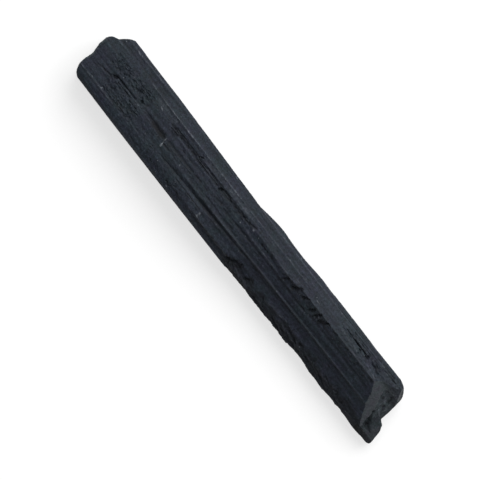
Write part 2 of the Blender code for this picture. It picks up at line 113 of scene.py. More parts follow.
# The rod is a loft between its long edges, in order round the section, seen from the +X end.
longEdges = {
    "rightFlank": [(-41.5, 5.73, 5), (-30, 5.61, 5), (-12, 5.21, 4.9), (-3, 5.02, 4.7), (3.3, 5.63, 4.5),
        (9, 5.42, 4.6), (14, 5.67, 4.6), (24, 5.62, 4.5), (41.5, 5.52, 4.3)],
    "rightRim": [(-41.5, 5.85, 8.6), (-35, 5.85, 8.6), (-32, 5.75, 8.65), (-28, 5.69, 8.7), (-24, 5.65, 8.8),
        (-21, 5.57, 8.9), (-16, 5.42, 9), (-12, 5.31, 9), (-8, 5.2, 9), (-4, 5.14, 8.95), (-2, 5.07, 8.9),
        (0, 5.39, 8.6), (2, 5.63, 8.3), (4, 5.75, 8), (6, 5.51, 8.3), (8, 5.49, 8.4), (10, 5.51, 8.3),
        (12, 5.69, 8.1), (14, 5.79, 7.9), (16, 5.57, 8.1), (18, 5.74, 8), (22, 5.7, 8), (26, 5.69, 8),
        (28, 5.59, 8), (30, 5.64, 8), (33, 5.67, 7.9), (41.5, 5.65, 7.9)],
    "rightShoulder": [(-41.5, 5.12, 9.27), (-28, 5.08, 9.3), (-19, 5.1, 9.3), (-8, 4.86, 9.3),
        (0, 4.95, 9.15), (10, 4.93, 8.95), (20, 4.8, 8.95), (41.5, 4.7, 8.9)],
    "longRidge": [(-41.5, 3.6, 9.44), (-28.7, 3.57, 9.48), (-25, 3.42, 9.56), (-19, 3.36, 9.62),
        (8, 3.36, 9.4), (27, 3.3, 9.35), (41.5, 3.2, 9.35)],
    "stepTop": [(-41.5, 2.18, 9.62), (-14.3, 2.25, 9.7), (-12.8, 2.35, 9.7), (-1.6, 2.25, 9.68),
        (3.2, 1.96, 9.66), (8.5, 1.6, 9.66), (11.5, 1.6, 9.66), (13, 2, 9.7), (32, 2, 9.74),
        (41.5, 2.2, 9.74)],
    "stepFoot": [(-41.5, 1.9, 9.64), (-22, 1.85, 9.64), (-19, 1.75, 9.55), (-1.6, 1.6, 9.47),
        (3.2, 1.3, 9.25), (8, 1.05, 9.1), (12.8, 1.25, 9.2), (41.5, 1.25, 9.2)],
    "centreCrest": [(-41.5, 1.3, 9.66), (-22, 1.35, 9.66), (-8, 1.15, 9.46), (3.2, 0.5, 9.1), (8, 0.44, 8.92),
        (15.5, 0.44, 8.76), (19, 0.64, 8.74), (41.5, 0.64, 8.73)],
    "thinGroove": [(-41.5, 0.2, 9.64), (-21, 0, 9.64), (-8, 0.05, 9.38), (3.2, -0.08, 8.73), (8, -0.04, 8.48),
        (15.5, -0.02, 8.42), (19, 0.25, 8.46), (41.5, 0.25, 8.48)],
    "floorTop": [(-41.5, -0.4, 9.62), (-21, -0.4, 9.62), (-8, -0.35, 9.34), (8, -0.34, 8.4),
        (15.5, -0.3, 8.37), (20, -0.07, 8.36), (41.5, -0.07, 8.38)],
    "ridgeRise": [(-41.5, -1.2, 9.6), (-21, -1.3, 9.58), (-8, -1.25, 9.24), (3, -1.33, 8.37),
        (12, -1.3, 7.87), (41.5, -1.22, 7.8)],
    "floorRidge": [(-41.5, -1.5, 9.58), (-21, -1.6, 9.56), (-12, -1.8, 9.4), (-3, -1.72, 9.05),
        (3, -1.64, 8.4), (12, -1.58, 7.87), (20, -1.5, 7.8), (41.5, -1.4, 7.76)],
    "longGroove": [(-41.5, -2.3, 9.54), (-19, -2.65, 9.45), (-11, -2.45, 9), (-3, -2.25, 8.65),
        (3, -2.03, 7.97), (12, -1.88, 7.47), (20, -1.76, 7.42), (41.5, -1.7, 7.42)],
    "grooveLip": [(-41.5, -2.9, 9.5), (-19, -2.9, 9.42), (-11, -2.7, 9), (-3, -2.5, 8.6), (9.5, -2.15, 7.2),
        (41.5, -2.1, 7.1)],
    "lowRidge": [(-41.5, -3.6, 9.44), (-19, -3.2, 9.36), (-8, -3.1, 8.92), (3, -3, 7.6), (12, -3, 6.85),
        (41.5, -2.95, 6.7)],
    "ledgeEdge": [(-41.5, -4.2, 9.3), (-19, -4.2, 9.2), (-6.4, -4.4, 8.6), (0, -4.3, 7.8), (1.6, -4.2, 7.6),
        (4.8, -3.6, 7), (11, -3.9, 6.7), (14.5, -3.6, 6.75), (24, -3.4, 6.5), (27, -3.7, 6.4),
        (32, -3.4, 6.35), (41.5, -3.6, 6.2)],
    "leftShoulder": [(-41.5, -5.05, 9), (-19, -5.1, 8.8), (-8, -5.1, 8.2), (0, -5.05, 7.1), (9.5, -4.9, 6),
        (20.7, -4.5, 5.7), (28.7, -4.8, 5.4), (41.5, -4.6, 5.2)],
    "leftRim": [(-41.5, -5.57, 8.4), (-36, -5.61, 8.4), (-30, -5.69, 8.3), (-22, -5.75, 8.2), (-18, -5.82, 8),
        (-8, -5.82, 7.4), (-1, -5.79, 6.4), (2.2, -5.77, 5.6), (4, -5.57, 5.3), (9, -5.55, 5),
        (11, -5.65, 4.8), (14, -5.53, 4.8), (17, -5.54, 4.8), (19, -5.37, 4.8), (20.4, -5.21, 4.8),
        (22.3, -5.24, 4.6), (24.2, -5.59, 4.4), (26, -5.52, 4.3), (28, -5.67, 4.2), (30, -5.37, 4.3),
        (33.5, -5.38, 4.2), (36, -5.59, 3.9), (38.5, -5.41, 3.8), (41.5, -5.43, 3.6)],
    "leftFlank": [(-41.5, -5.47, 4.8), (-22, -5.67, 4.8), (2.6, -5.57, 4), (9.5, -5.42, 3.6),
        (17, -5.42, 3.5), (20.4, -5.12, 3.4), (27.7, -5.47, 3.2), (33.3, -5.27, 3.2), (41.5, -5.27, 2.8)],
    "leftLowRidge": [(-41.5, -5.3, 3.3), (-18, -5.4, 3.1), (6.4, -5.15, 2.5), (24, -4.9, 2.4),
        (41.5, -5.05, 2.2)],
    "leftHeel": [(-41.5, -4.6, 1.6), (-11, -4.85, 1.4), (12.8, -4.6, 1.3), (41.5, -4.5, 1.1)],
    "baseLeft": [(-41.5, -3.2, 0), (-11, -3.3, 0), (14.3, -3, 0), (41.5, -3.2, 0)],
    "leftSeamIn": [(-41.5, -1.95, 0), (0, -2.05, 0), (41.5, -1.85, 0)],
    "leftSeam": [(-41.5, -1.5, 0.24), (0, -1.6, 0.3), (41.5, -1.4, 0.24)],
    "leftSeamOut": [(-41.5, -1.03, 0), (41.5, -0.95, 0)],
    "rightSeamIn": [(-41.5, 0.7, 0), (0, 0.8, 0), (41.5, 0.7, 0)],
    "rightSeam": [(-41.5, 1.25, 0.2), (41.5, 1.15, 0.3)],
    "rightSeamOut": [(-41.5, 1.7, 0), (0, 1.62, 0), (41.5, 1.7, 0)],
    "baseRight": [(-41.5, 3, 0), (-11, 2.75, 0), (14.3, 3.2, 0), (41.5, 3, 0)],
    "rightHeel": [(-41.5, 4.7, 1.75), (-11, 4.3, 1.5), (12.8, 4.8, 1.7), (41.5, 4.6, 1.6)],
    "rightLowRidge": [(-41.5, 5.3, 3.5), (-11, 4.9, 3.2), (8, 5.25, 3.2), (27, 5.2, 3.1), (41.5, 5.2, 3.2)],
}

skin = {
    "topPitch": 0.11,           # spacing of the mesh lines round the section, on top
    "sidePitch": 0.28,          # on the lower sides
    "basePitch": 0.6,           # on the underside
    "topEdges": ("rightRim", "leftRim"),            # the first and the last of them
    "baseEdges": ("baseLeft", "rightSeamOut"),
    # Spacing of the mesh stations from each x on, closer where there are pits; the last x ends it
    "stations": [(-41.4, 0.24), (-35.2, 0.16), (-33, 0.22), (-28.6, 0.16), (-27.2, 0.22), (-22, 0.16),
                 (-19.8, 0.22), (-15.2, 0.16), (-13.6, 0.22), (-9, 0.2), (0, 0.175), (37, 0.3), (41.4, 0)],
    "edgeEase": 1.5,            # how far a bend in a long edge is eased out along the rod
    "normalSpan": 4,            # relief is cut along normals evened out over this many lines
    "sharpAngle": 38,           # edges sharper than this many degrees stay crisp
    "wornSpan": 2,              # an edge's wear and painted highlight are judged over this many lines to each side
    "wornBend": (0.05, 0.16),   # the bend from which an edge begins to look worn and to carry a painted highlight, and where it is full
}


def stationsAlong():
    stops = []
    for (start, step), (end, _) in zip(skin["stations"], skin["stations"][1:]):
        stops.extend(np.arange(start, end - step / 2, step))
    return np.array(stops + [end])


def edgesBetween(first, last):  # the names of the long edges from one to another
    names = list(longEdges)
    return names[names.index(first):names.index(last) + 1]


def buildGrid(stations):
    # Lines of points along the rod, from each long edge to the next, at the pitch of that part.
    # With them come how far round the section each lies, its part and each long edge's own line.
    edges = []
    for points in longEdges.values():
        across = between([(x, y) for x, y, _ in points], stations)
        up = between([(x, z) for x, _, z in points], stations)
        smooth = [eased(values, stations, skin["edgeEase"]) for values in (across, up)]
        edges.append(np.stack([stations, *smooth], axis=-1))
    lines, arcs, parts, lineOf = [], [], [], {}
    topEdges, baseEdges = edgesBetween(*skin["topEdges"]), edgesBetween(*skin["baseEdges"])
    arc = 0.0
    for name, edge, following in zip(longEdges, edges, edges[1:] + edges[:1]):
        gap = np.linalg.norm(following - edge, axis=-1).mean()
        part = "top" if name in topEdges else "base" if name in baseEdges else "side"
        count = max(2, round(gap / skin[part + "Pitch"]))
        lineOf[name] = len(lines)
        for step in range(count):
            lines.append(edge + (following - edge) * (step / count))
            arcs.append(arc + gap * step / count)
            parts.append(part)
        arc += gap
    return np.stack(lines, axis=1), np.array(arcs), np.array(parts), lineOf


def inwardNormals(grid, span):
    # The section's own normals, pointing into the rod, evened out over some lines to each side.
    tangent = np.roll(grid, -1, axis=1) - np.roll(grid, 1, axis=1)
    inward = np.stack([np.zeros_like(tangent[..., 0]), -tangent[..., 2], tangent[..., 1]], axis=-1)
    inward /= np.linalg.norm(inward, axis=-1, keepdims=True)
    inward = np.mean([np.roll(inward, shift, axis=1) for shift in range(-span, span + 1)], axis=0)
    return inward / np.linalg.norm(inward, axis=-1, keepdims=True)


def wornHighlightEdges(grid):
    # 1 on edges that stand proud across the section, 0 on flats and in hollows. These edges are painted
    # paler, partly as wear and partly as a painted highlight where they catch the light.
    ahead, behind = np.roll(grid, skin["wornSpan"], axis=1), np.roll(grid, -skin["wornSpan"], axis=1)
    bulge = -((grid - (ahead + behind) / 2) * inwardNormals(grid, 0)).sum(axis=-1)
    return softStep(bulge / np.linalg.norm(ahead - behind, axis=-1), *skin["wornBend"])


# Growth lines run dead straight along the rod: (pitch, depth, how far along they last)
growthLines = {
    "coarse": (1.3, 0.085, 26),
    "middle": (0.55, 0.050, 15),
    "fine": (0.26, 0.026, 9),
    "swing": 1.6,               # how strongly they come and go
    "lift": 0.05,               # the mean of the furrows, given back so that the rod keeps its size
    "topShare": 0.6,            # the worn top shows them less than the sides
}


def growthRelief(grid, arcs):
    # Furrows parallel to the rod, each fading in and out along it.
    relief = np.zeros(grid.shape[:-1])
    for order, name in enumerate(("coarse", "middle", "fine")):
        pitch, depth, lasts = growthLines[name]
        along, across = np.meshgrid(grid[:, 0, 0] / lasts, arcs / pitch, indexing="ij")
        points = np.stack([along, across, np.full(relief.shape, 3.7 * order)], axis=-1)
        relief += depth * (1 + noiseAt(points, 11.0 * order + 1) * growthLines["swing"]).clip(0, 2)
    return relief


# How the outline of a mark wanders, and how its strength changes along it
markEdge = {
    "spacing": (1.6, 2.2, 0),   # how many bends to a millimetre, along the rod and across
    "bend": 0.7,
    "fineBend": 0.9,
    "fineness": 2.6,            # how much closer the fine bends are
    "reach": (-0.5, 0.8),       # the most it draws in and bulges out, before the gain
    "gain": 1.4,
    "wall": (1, 0.3),           # from the outline to full strength, as shares of half the width
    "fadeSpacing": (0.8, 0, 0),
    "fadeMean": 0.95,
    "fadeBy": 0.8,
    "fadeRange": (0.4, 1.2),
    "leastSize": 0.03,
    "margin": 0.05,
}


def markShare(points, mark, ragged, seed, widen=1.0):
    # A mark's strength along its line, falling to nothing at its ragged outline.
    start = np.array(mark[:2])
    run = np.array(mark[2:4]) - start
    widthStart, widthEnd = mark[4] * widen, mark[-2] * widen
    flat = points[..., :2] - start
    along = np.clip((flat @ run) / (run @ run), 0, 1)
    away = np.linalg.norm(flat - along[..., None] * run, axis=-1)
    halfWidth = (widthStart + (widthEnd - widthStart) * along) / 2
    near = away < halfWidth * (1 + ragged) + markEdge["margin"]
    near &= points[..., 2] > crystal["topFrom"]
    share = np.zeros(points.shape[:-1])
    if near.any():
        spots = points[near] * markEdge["spacing"]
        wander = markEdge["bend"] * noiseAt(spots, seed)
        wander += markEdge["fineBend"] * noiseAt(spots * markEdge["fineness"], seed + 5)
        size = halfWidth[near] * (1 + ragged * np.clip(wander, *markEdge["reach"]) * markEdge["gain"])
        fade = noiseAt(points[near] * markEdge["fadeSpacing"], seed + 9)
        fade = np.clip(markEdge["fadeMean"] + markEdge["fadeBy"] * fade, *markEdge["fadeRange"])
        inner = softStep(away[near] / np.maximum(size, markEdge["leastSize"]), *markEdge["wall"])
        share[near] = fade * inner * mark[-1]
    return share


def strongest(points, group, widen=1.0):  # the strength of the strongest mark at each point
    total = np.zeros(points.shape[:-1])
    for number, mark in enumerate(group["marks"]):
        total = np.maximum(total, markShare(points, mark, group["ragged"], number * 3.1, widen))
    return total


# Marks on top: x and y of one end, x and y of the other, the width (or one for each end) and the
# depth, for ridges the height. ragged is how much the outline wanders, as a share of the width.
# Grooves and pits also darken the colour as painted shade, through the hollow mask; the broad shallow bands
# darken whole faces that lie in shade in the same way.
grooves = {
    "ragged": 0.4,
    "marks": [
        (-33.75, -0.52, -33.45, -0.42, 0.64, 0.6, 0.42), (-34.4, -0.85, -33.9, -0.6, 0.45, 0.5, 0.12),
        (-33.5, -0.2, -28.8, -0.18, 0.34, 0.26, 0.26), (-32.6, -0.75, -29.5, -0.72, 0.22, 0.18, 0.16),
        (-27.8, 0.34, -27.65, 0.3, 0.5, 0.36), (-27.4, 0.3, -26.2, 0.85, 0.4, 0.6, 0.07),
        (-26.6, 0, -24, -0.1, 0.2, 0.5, 0.11), (-24.9, -0.2, -22.8, -0.32, 0.75, 1.1, 0.1),
        (-23, -0.36, -21.3, -0.42, 1.15, 1.35, 0.11), (-25, 0.05, -20.9, 0, 0.25, 0.4, 0.08),
        (-34.3, -0.95, -35.2, -1.1, 0.5, 0.35, 0.13), (-35.1, -1.2, -36.3, -1.2, 0.35, 0.3, 0.1),
        (-36.4, -1.35, -37.6, -1.5, 0.3, 0.1), (-34.15, -1.1, -34.05, -2.3, 0.4, 0.35, 0.1),
        (-35.2, 0.95, -33, 0.9, 0.25, 0.06), (-32.9, 1.7, -31.9, 1.85, 0.3, 0.35, 0.12),
        (-31.2, 1.6, -28.6, 1.65, 0.3, 0.09), (-30.6, 0.7, -28.9, 1.3, 0.35, 0.4, 0.1),
        (-29, 0.9, -28.6, 1.5, 0.3, 0.12), (-27.9, -2.2, -26.9, -1.8, 0.4, 0.3, 0.12),
        (-32.9, -2.3, -32, -1.9, 0.4, 0.1), (-23.4, -4.9, -22.9, -5, 0.4, 0.3, 0.08),
        (-24.4, -4.7, -23.6, -4.85, 0.3, 0.1), (-35, 0.76, -33, 0.74, 0.13, 0.07),
        (-35, 0.5, -32.8, 0.5, 0.13, 0.07), (-38.6, 0.1, -35.6, 0.02, 0.14, 0.05),
        (-21.4, 2, -15.4, 1.98, 0.85, 0.1), (-21.2, 1.55, -19.7, 1.52, 0.4, 0.14),
        (-21.45, 2.3, -21.3, 3, 0.2, 0.16, 0.07), (-19.6, 1.7, -16.5, 1.65, 0.3, 0.07),
        (-14.7, 2.1, -14.1, 2.62, 0.36, 0.26, 0.2), (-14.4, 2.05, -8.3, 2, 0.6, 0.65, 0.08),
        (-15.5, 1.6, -9.2, 1.55, 0.45, 0.11), (-8.5, 1.4, -8.1, 1.9, 0.42, 0.26),
        (-8, 1.8, -4.5, 1.8, 0.9, 0.85, 0.1), (-4.1, 1.8, -1.9, 1.8, 0.85, 0.7, 0.09),
        (-7.4, 2.15, -7.1, 2.3, 0.3, 0.12), (-5.3, 2.15, -4.9, 2.2, 0.35, 0.3, 0.12),
        (-3.4, 1.6, -2.9, 1.65, 0.35, 0.3, 0.12), (-1.5, 1.75, 0.4, 2.2, 0.45, 0.13),
        (-17.6, 0.56, -16.4, 0.7, 0.16, 0.11), (-15.9, 0.62, -14.2, 0.58, 0.16, 0.14, 0.1),
        (-19.6, -0.2, -13.5, -0.2, 0.75, 0.6, 0.08), (-12.3, -0.15, -11.3, -0.2, 0.4, 0.1),
        (-11.2, 0.1, -8.2, 0.1, 0.4, 0.06), (-20, -1.15, -18.8, -1.1, 0.5, 0.45, 0.09),
        (-14.8, -0.72, -12.6, -0.68, 0.12, 0.05), (-9, -1, -2, -1, 0.4, 0.06),
        (-8, 0.1, -6.4, 0.25, 0.6, 0.55, 0.1), (-6.25, 0.45, -6.2, 0, 0.16, 0.14),
        (-5.4, 0.02, 2, 0.08, 0.55, 0.5, 0.09), (2, 0.12, 15.8, 0.15, 0.5, 0.1),
        (17.4, 0.42, 32, 0.4, 0.5, 0.45, 0.07), (-19.2, -2.7, -12, -2.3, 0.2, 0.6, 0.1),
        (-12, -2.25, 0, -2.15, 0.85, 0.8, 0.1), (0, -2.05, 6, -1.9, 0.7, 0.45, 0.1),
        (5, -1.85, 14, -1.8, 0.4, 0.38, 0.1), (14, -1.8, 31, -1.66, 0.36, 0.32, 0.09),
        (-14.2, -3.1, -8, -3.15, 0.3, 0.25, 0.1), (-6, -2.85, -2, -2.8, 0.25, 0.06),
        (-8.3, -4.75, 1.5, -4.82, 0.6, 1, 0.09), (-39, -3.95, -30.5, -4, 0.2, 0.06),
        (22.7, 3.8, 25, 3.75, 0.15, 0.2, 0.18), (25, 3.75, 27.9, 3.72, 0.24, 0.36),
        (22, 3.55, 24.4, 3.5, 0.12, 0.07), (25, -2.4, 31.5, -2.4, 0.45, 0.4, 0.1),
        (4, -1.6, 36, -1.7, 4.6, 0.044), (31.5, -4.2, 35.8, -4.3, 1.4, 0.06),
        (-38, 4.3, -26, 4.3, 1.5, 0.045), (17, 5.24, 36, 5.16, 0.2, 0.09), (19, 4.98, 34, 4.94, 0.2, 0.1),
        (24, 4.56, 34.5, 4.5, 0.2, 0.08), (22, 4.3, 31, 4.25, 0.2, 0.06), (31.5, 4.75, 36, 4.6, 0.2, 0.08),
        (0.8, 5.3, 9, 5.2, 0.13, 0.12, 0.06), (-36, 5.45, -22, 5.3, 0.13, 0.12, 0.05)],
}

pits = {
    "ragged": 0.6,
    "marks": [
        (3.2, 1.3, 3.45, 1.28, 0.4, 0.24), (3.9, 1.25, 4.1, 1.25, 0.35, 0.3, 0.22),
        (4.55, 1.25, 4.75, 1.22, 0.32, 0.3, 0.12), (5.6, 1.4, 5.8, 1.3, 0.9, 0.1),
        (10.2, 1.15, 12.5, 1.2, 1.2, 1.3, 0.08), (9.8, 0.7, 10.35, 1.5, 0.7, 0.5, 0.22),
        (11.9, 0.9, 12.95, 2, 0.85, 0.6, 0.34), (14.2, 1.3, 15.05, 1.95, 0.65, 0.5, 0.3),
        (16.5, 0.75, 16.95, 1.6, 0.7, 0.6, 0.3), (17.8, 0.95, 18.35, 1.85, 0.7, 0.55, 0.32),
        (18.95, 0.95, 20.2, 1.85, 1, 0.75, 0.32), (21.7, 1.6, 22.5, 1.85, 0.6, 0.5, 0.11),
        (24.8, 1.1, 25.4, 1.7, 0.9, 0.7, 0.09), (28.2, 1.4, 29.2, 1.8, 0.9, 0.6, 0.07),
        (26.3, 1.3, 27.2, 1.75, 0.6, 0.5, 0.05), (22.6, 0.9, 23.8, 1.6, 0.7, 0.6, 0.05),
        (26.65, 3.4, 26.85, 3.38, 0.32, 0.3, 0.24), (28.35, 3.8, 28.6, 3.8, 0.35, 0.3, 0.22),
        (30.4, 4, 30.9, 3.9, 0.3, 0.26, 0.16), (-29.5, -2.7, -29.4, -2.6, 0.25, 0.22),
        (-8.15, 3.55, -8, 3.55, 0.22, 0.14), (11.1, 3.67, 11.2, 3.65, 0.28, 0.16),
        (1.4, -4.65, 3.6, -3.5, 1.25, 0.8, 0.36), (5.7, -4.35, 6.5, -3.85, 0.6, 0.5, 0.16),
        (20, -4, 20.3, -3.95, 0.6, 0.3), (31.3, 1.5, 32, 1.7, 0.8, 0.7, 0.12),
        (-14.75, -4.6, -14.4, -4.8, 0.6, 0.5, 0.16), (-19.5, -4.4, -19.2, -4.6, 0.5, 0.4, 0.12),
        (-12.4, -4.5, -12, -4.7, 0.5, 0.4, 0.12), (-13.7, -4.2, -13.3, -4, 0.3, 0.12),
        (7.2, 3.6, 7.4, 3.65, 0.25, 0.1), (8.9, 0.9, 9.3, 1.3, 0.5, 0.1), (35.3, 3.75, 36, 3.8, 0.3, 0.14),
        (36.75, -3.76, 38.8, -3.74, 0.26, 0.24, 0.12), (36.1, 2.75, 36.7, 2.85, 0.3, 0.25, 0.1),
        (33.2, 4.7, 34.9, 4.6, 0.22, 0.1), (34.3, 4.2, 35.4, 4.15, 0.25, 0.22, 0.1),
        (29.9, 3.6, 31.2, 3.4, 0.4, 0.12), (27.9, 3.45, 28.9, 3.5, 0.4, 0.35, 0.14)],
}

ridges = {
    "ragged": 0.35,
    "marks": [
        (-38.6, 3.62, -36, 3.6, 0.28, 0.035), (-28.8, 3.57, -25, 3.4, 0.28, 0.3, 0.07),
        (-25, 3.4, -4, 3.34, 0.3, 0.28, 0.08), (-4, 3.34, 13, 3.36, 0.28, 0.04),
        (-33.2, -0.42, -27.4, -0.47, 0.22, 0.06), (-27, -0.3, -24.4, -0.3, 0.18, 0.05),
        (-14.2, 1.82, -8.6, 1.82, 0.18, 0.04), (-21, 1.3, -15, 1.28, 0.2, 0.18, 0.04),
        (-39, -3.65, -31, -3.65, 0.28, 0.24, 0.04), (0, 0.62, 8.2, 0.6, 0.24, 0.2, 0.05),
        (5, -3.05, 33, -2.95, 0.25, 0.03), (0, -1.5, 33.5, -1.3, 0.2, 0.012), (28.7, 4, 29, 4.05, 0.4, 0.1),
        (29.4, 4, 29.7, 4.05, 0.4, 0.1)],
}

# Painted shade: places painted darker where the wedge, grooves and steps lie in shade, with how dark each is
# instead of a depth
shades = {
    "ragged": 0.35,
    "marks": [
        (-26.2, -0.08, -23.5, -0.22, 0.35, 0.85, 0.75), (-23.8, -0.28, -20.9, -0.42, 1, 1.4, 1.2),
        (-23.4, -0.32, -20.95, -0.4, 1.1, 1.4, 1.2), (-21.3, 3.05, -15, 2.7, 0.6, 0.7, 0.12),
        (-21.4, 2, -15.5, 1.95, 0.75, 0.3), (-15.8, 1.95, -8.4, 1.9, 0.9, 0.34),
        (-8.2, 1.75, -1.6, 1.75, 0.95, 0.85, 0.66), (-1.6, 1.85, 0.4, 2.15, 0.5, 0.4, 0.5),
        (-19.8, -0.25, -12.6, -0.25, 0.65, 0.55, 0.3), (-8, 0.1, -6.4, 0.2, 0.6, 0.45),
        (-5.4, 0, 2, 0.05, 0.5, 0.38), (2, 0.08, 15.8, 0.12, 0.5, 0.5),
        (-17, -2.45, -12, -2.3, 0.4, 0.7, 0.3), (-12, -2.3, 1.5, -2.15, 0.75, 0.65, 0.22),
        (1.5, -2, 9, -1.85, 0.55, 0.4, 0.3), (10, 1.2, 12.4, 1.15, 1, 1.1, 0.14),
        (11.9, 0.9, 12.9, 1.9, 0.6, 0.5, 0.4), (-7.4, -4.75, 1.5, -4.8, 0.5, 0.75, 0.27),
        (1.4, -4.65, 3.6, -3.5, 1, 0.7, 0.45), (36.8, -3.75, 38.7, -3.75, 0.28, 0.26, 0.8)],
}

# Pale scuffs and scars, with painted highlights along lit ridges and broad veils of painted light on faces
# tilted from the lamp, with how strong each is, and specks: x, y, radius, strength
scuffsAndHighlights = {
    "ragged": 0.6,
    "marks": [
        (-28.8, 3.57, -25, 3.4, 0.3, 0.36), (-25, 3.4, -16, 3.36, 0.3, 0.32, 0.58),
        (-16, 3.36, -5, 3.34, 0.32, 0.3, 0.44), (-4, 3.34, 13, 3.36, 0.3, 0.26),
        (16, 4.2, 35.5, 4.2, 2.8, 0.085), (-12, -3.6, 0, -3.6, 1.6, 0.05),
        (-38.4, 3.62, -36.2, 3.6, 0.25, 0.26), (-37.5, 5.1, -28, 5.08, 0.2, 0.26),
        (-34.6, 5.1, -33.9, 4.95, 0.2, 0.18, 0.6), (-33.7, 5.2, -33.3, 4.8, 0.18, 0.15, 0.55),
        (-1, 4.95, 21, 4.8, 0.2, 0.32), (4.5, 5.02, 4.75, 5, 0.25, 0.7), (8.85, 5.12, 8.95, 5.1, 0.25, 0.6),
        (20.1, 4.76, 20.3, 4.75, 0.22, 0.5), (-33.2, -0.42, -27.4, -0.47, 0.18, 0.3),
        (-27, -0.3, -24.4, -0.3, 0.16, 0.25), (-26.3, 2.8, -21.6, 2.8, 0.9, 0.22),
        (-25.1, 2.45, -24.6, 2.2, 0.3, 0.25, 0.62), (-20.46, -0.1, -20.4, -0.7, 0.17, 0.6),
        (-20.4, -0.7, -20.2, -1.2, 0.2, 0.24, 0.8), (-20.2, -1.2, -20.14, -1.76, 0.3, 0.34, 1),
        (-39, -3.65, -31, -3.65, 0.3, 0.28, 0.3), (-7.3, -3.35, -7.3, -4.2, 0.3, 0.32, 0.95),
        (-7.65, -4.22, -6.9, -4.25, 0.26, 0.75), (-14, 2.8, -0.5, 2.8, 1, 1.1, 0.23),
        (10.6, 2.38, 11.9, 2.36, 0.2, 0.32), (10.7, 2.12, 12, 2.1, 0.16, 0.25),
        (8.6, 1.75, 9.4, 1.7, 0.35, 0.3, 0.25), (16, 2.85, 17, 2.75, 0.22, 0.4),
        (18.2, 3.2, 19.8, 3.1, 0.35, 0.22), (13.2, 4, 14.2, 3.95, 0.2, 0.26),
        (-8.3, 4.95, -7.9, 4.9, 0.3, 0.25, 0.4), (3.3, 2.9, 4.6, 2.95, 0.5, 0.14),
        (-1.5, 0.95, 0.8, 0.9, 0.3, 0.2), (-4.6, 0.95, -2.4, 0.9, 0.35, 0.3, 0.2),
        (1, 0.6, 4, 0.62, 0.3, 0.25, 0.15), (-14.2, 1.82, -8.6, 1.82, 0.12, 0.25),
        (-6.3, 0.55, -6.15, 0.2, 0.14, 0.5), (0, 0.62, 8.2, 0.58, 0.14, 0.25),
        (6.8, -4, 8, -3.95, 0.2, 0.14, 0.2), (13, -3.95, 14.6, -3.5, 0.14, 0.2, 0.3),
        (10.9, -3.8, 12, -3.7, 0.14, 0.2), (21.7, 3.2, 23.8, 3.1, 0.5, 0.2),
        (24.3, 2.95, 25.1, 2.92, 0.35, 0.34), (25.6, 2.9, 26.5, 2.85, 0.4, 0.38),
        (26.2, 2.2, 26.9, 2.15, 0.25, 0.26), (29.2, 2.8, 30.3, 2.75, 0.4, 0.3, 0.22),
        (31.2, 2.5, 31.9, 2.38, 0.3, 0.4, 0.36), (33.6, 4.1, 35.6, 4.3, 0.8, 0.9, 0.14),
        (30.3, 2.5, 31.2, 2.45, 0.5, 0.2), (28.75, 4, 28.9, 4.05, 0.32, 0.3, 0.35),
        (29.4, 4.02, 29.65, 4.05, 0.32, 0.3, 0.4), (31.15, 4.6, 31.5, 4.8, 0.25, 0.5),
        (31.7, 4.6, 32.6, 4.2, 0.3, 0.25), (32.6, 4.4, 33, 4.45, 0.25, 0.2, 0.35),
        (36.95, 2.3, 37.3, 0.2, 0.45, 0.55, 0.36), (34.4, 1.7, 35.3, 0, 0.4, 0.2),
        (35.3, -0.1, 36, -1.7, 0.3, 0.16), (35.7, 1.9, 36.2, 1.1, 0.4, 0.22),
        (35.3, 3.2, 36.4, 3.5, 0.5, 0.2), (36.5, -0.3, 37.4, -0.8, 0.5, 0.4, 0.24),
        (17.1, 0.8, 17.6, 1.5, 0.3, 0.26), (18.35, 0.9, 18.75, 1.6, 0.3, 0.26),
        (12.9, 0.9, 13.9, 1.7, 0.5, 0.16), (15.2, 0.8, 15.9, 1.5, 0.5, 0.16),
        (36.2, -0.7, 35.9, 1.1, 0.2, 0.25, 0.28)],
    "specks": [
        (-36.2, -3.5, 0.16, 0.85), (-33.6, -3.3, 0.18, 0.77), (-33.7, -3.5, 0.14, 0.59),
        (-36, -1.7, 0.16, 0.77), (-29.6, -3.1, 0.15, 0.77), (-28.3, -4, 0.17, 0.68), (-31.7, 1.96, 0.2, 0.51),
        (-27.7, -0.5, 0.16, 0.68), (-24.6, -1.6, 0.15, 0.51), (-23.2, -2.4, 0.15, 0.51),
        (-15.6, -1.2, 0.2, 0.77), (-16.5, -4.3, 0.15, 0.51), (-14.3, -5.1, 0.15, 0.59),
        (-13, -1.5, 0.13, 0.42), (-2, 0.85, 0.18, 0.77), (-3.1, 0.8, 0.14, 0.51), (-0.36, -1.15, 0.15, 0.59),
        (-10.9, 3.74, 0.14, 0.42), (0.36, 1.74, 0.27, 1), (1.96, 1.6, 0.23, 1), (13.1, 3.1, 0.15, 0.42),
        (12.1, 3.6, 0.17, 0.51), (16.6, 2.8, 0.2, 0.51), (10.6, -1.43, 0.18, 0.59), (16.3, 0, 0.17, 0.34),
        (-17.1, 1.2, 0.13, 0.42), (-12, 1.3, 0.12, 0.34), (-8.9, 2.75, 0.13, 0.42), (15.3, 0.7, 0.13, 0.34),
        (28.7, 0.2, 0.17, 0.26), (-34, 4.95, 0.15, 0.59), (34.9, 0.1, 0.15, 0.34), (8.4, -4.4, 0.12, 0.3),
        (17.9, -4.2, 0.12, 0.26), (-36.9, 0.7, 0.13, 0.34), (-14.8, 4.5, 0.12, 0.26), (20, 3.2, 0.14, 0.3),
        (-8.1, 4.9, 0.14, 0.51), (-1.5, 2.35, 0.13, 0.34), (-37.5, -0.9, 0.12, 0.26)],
}

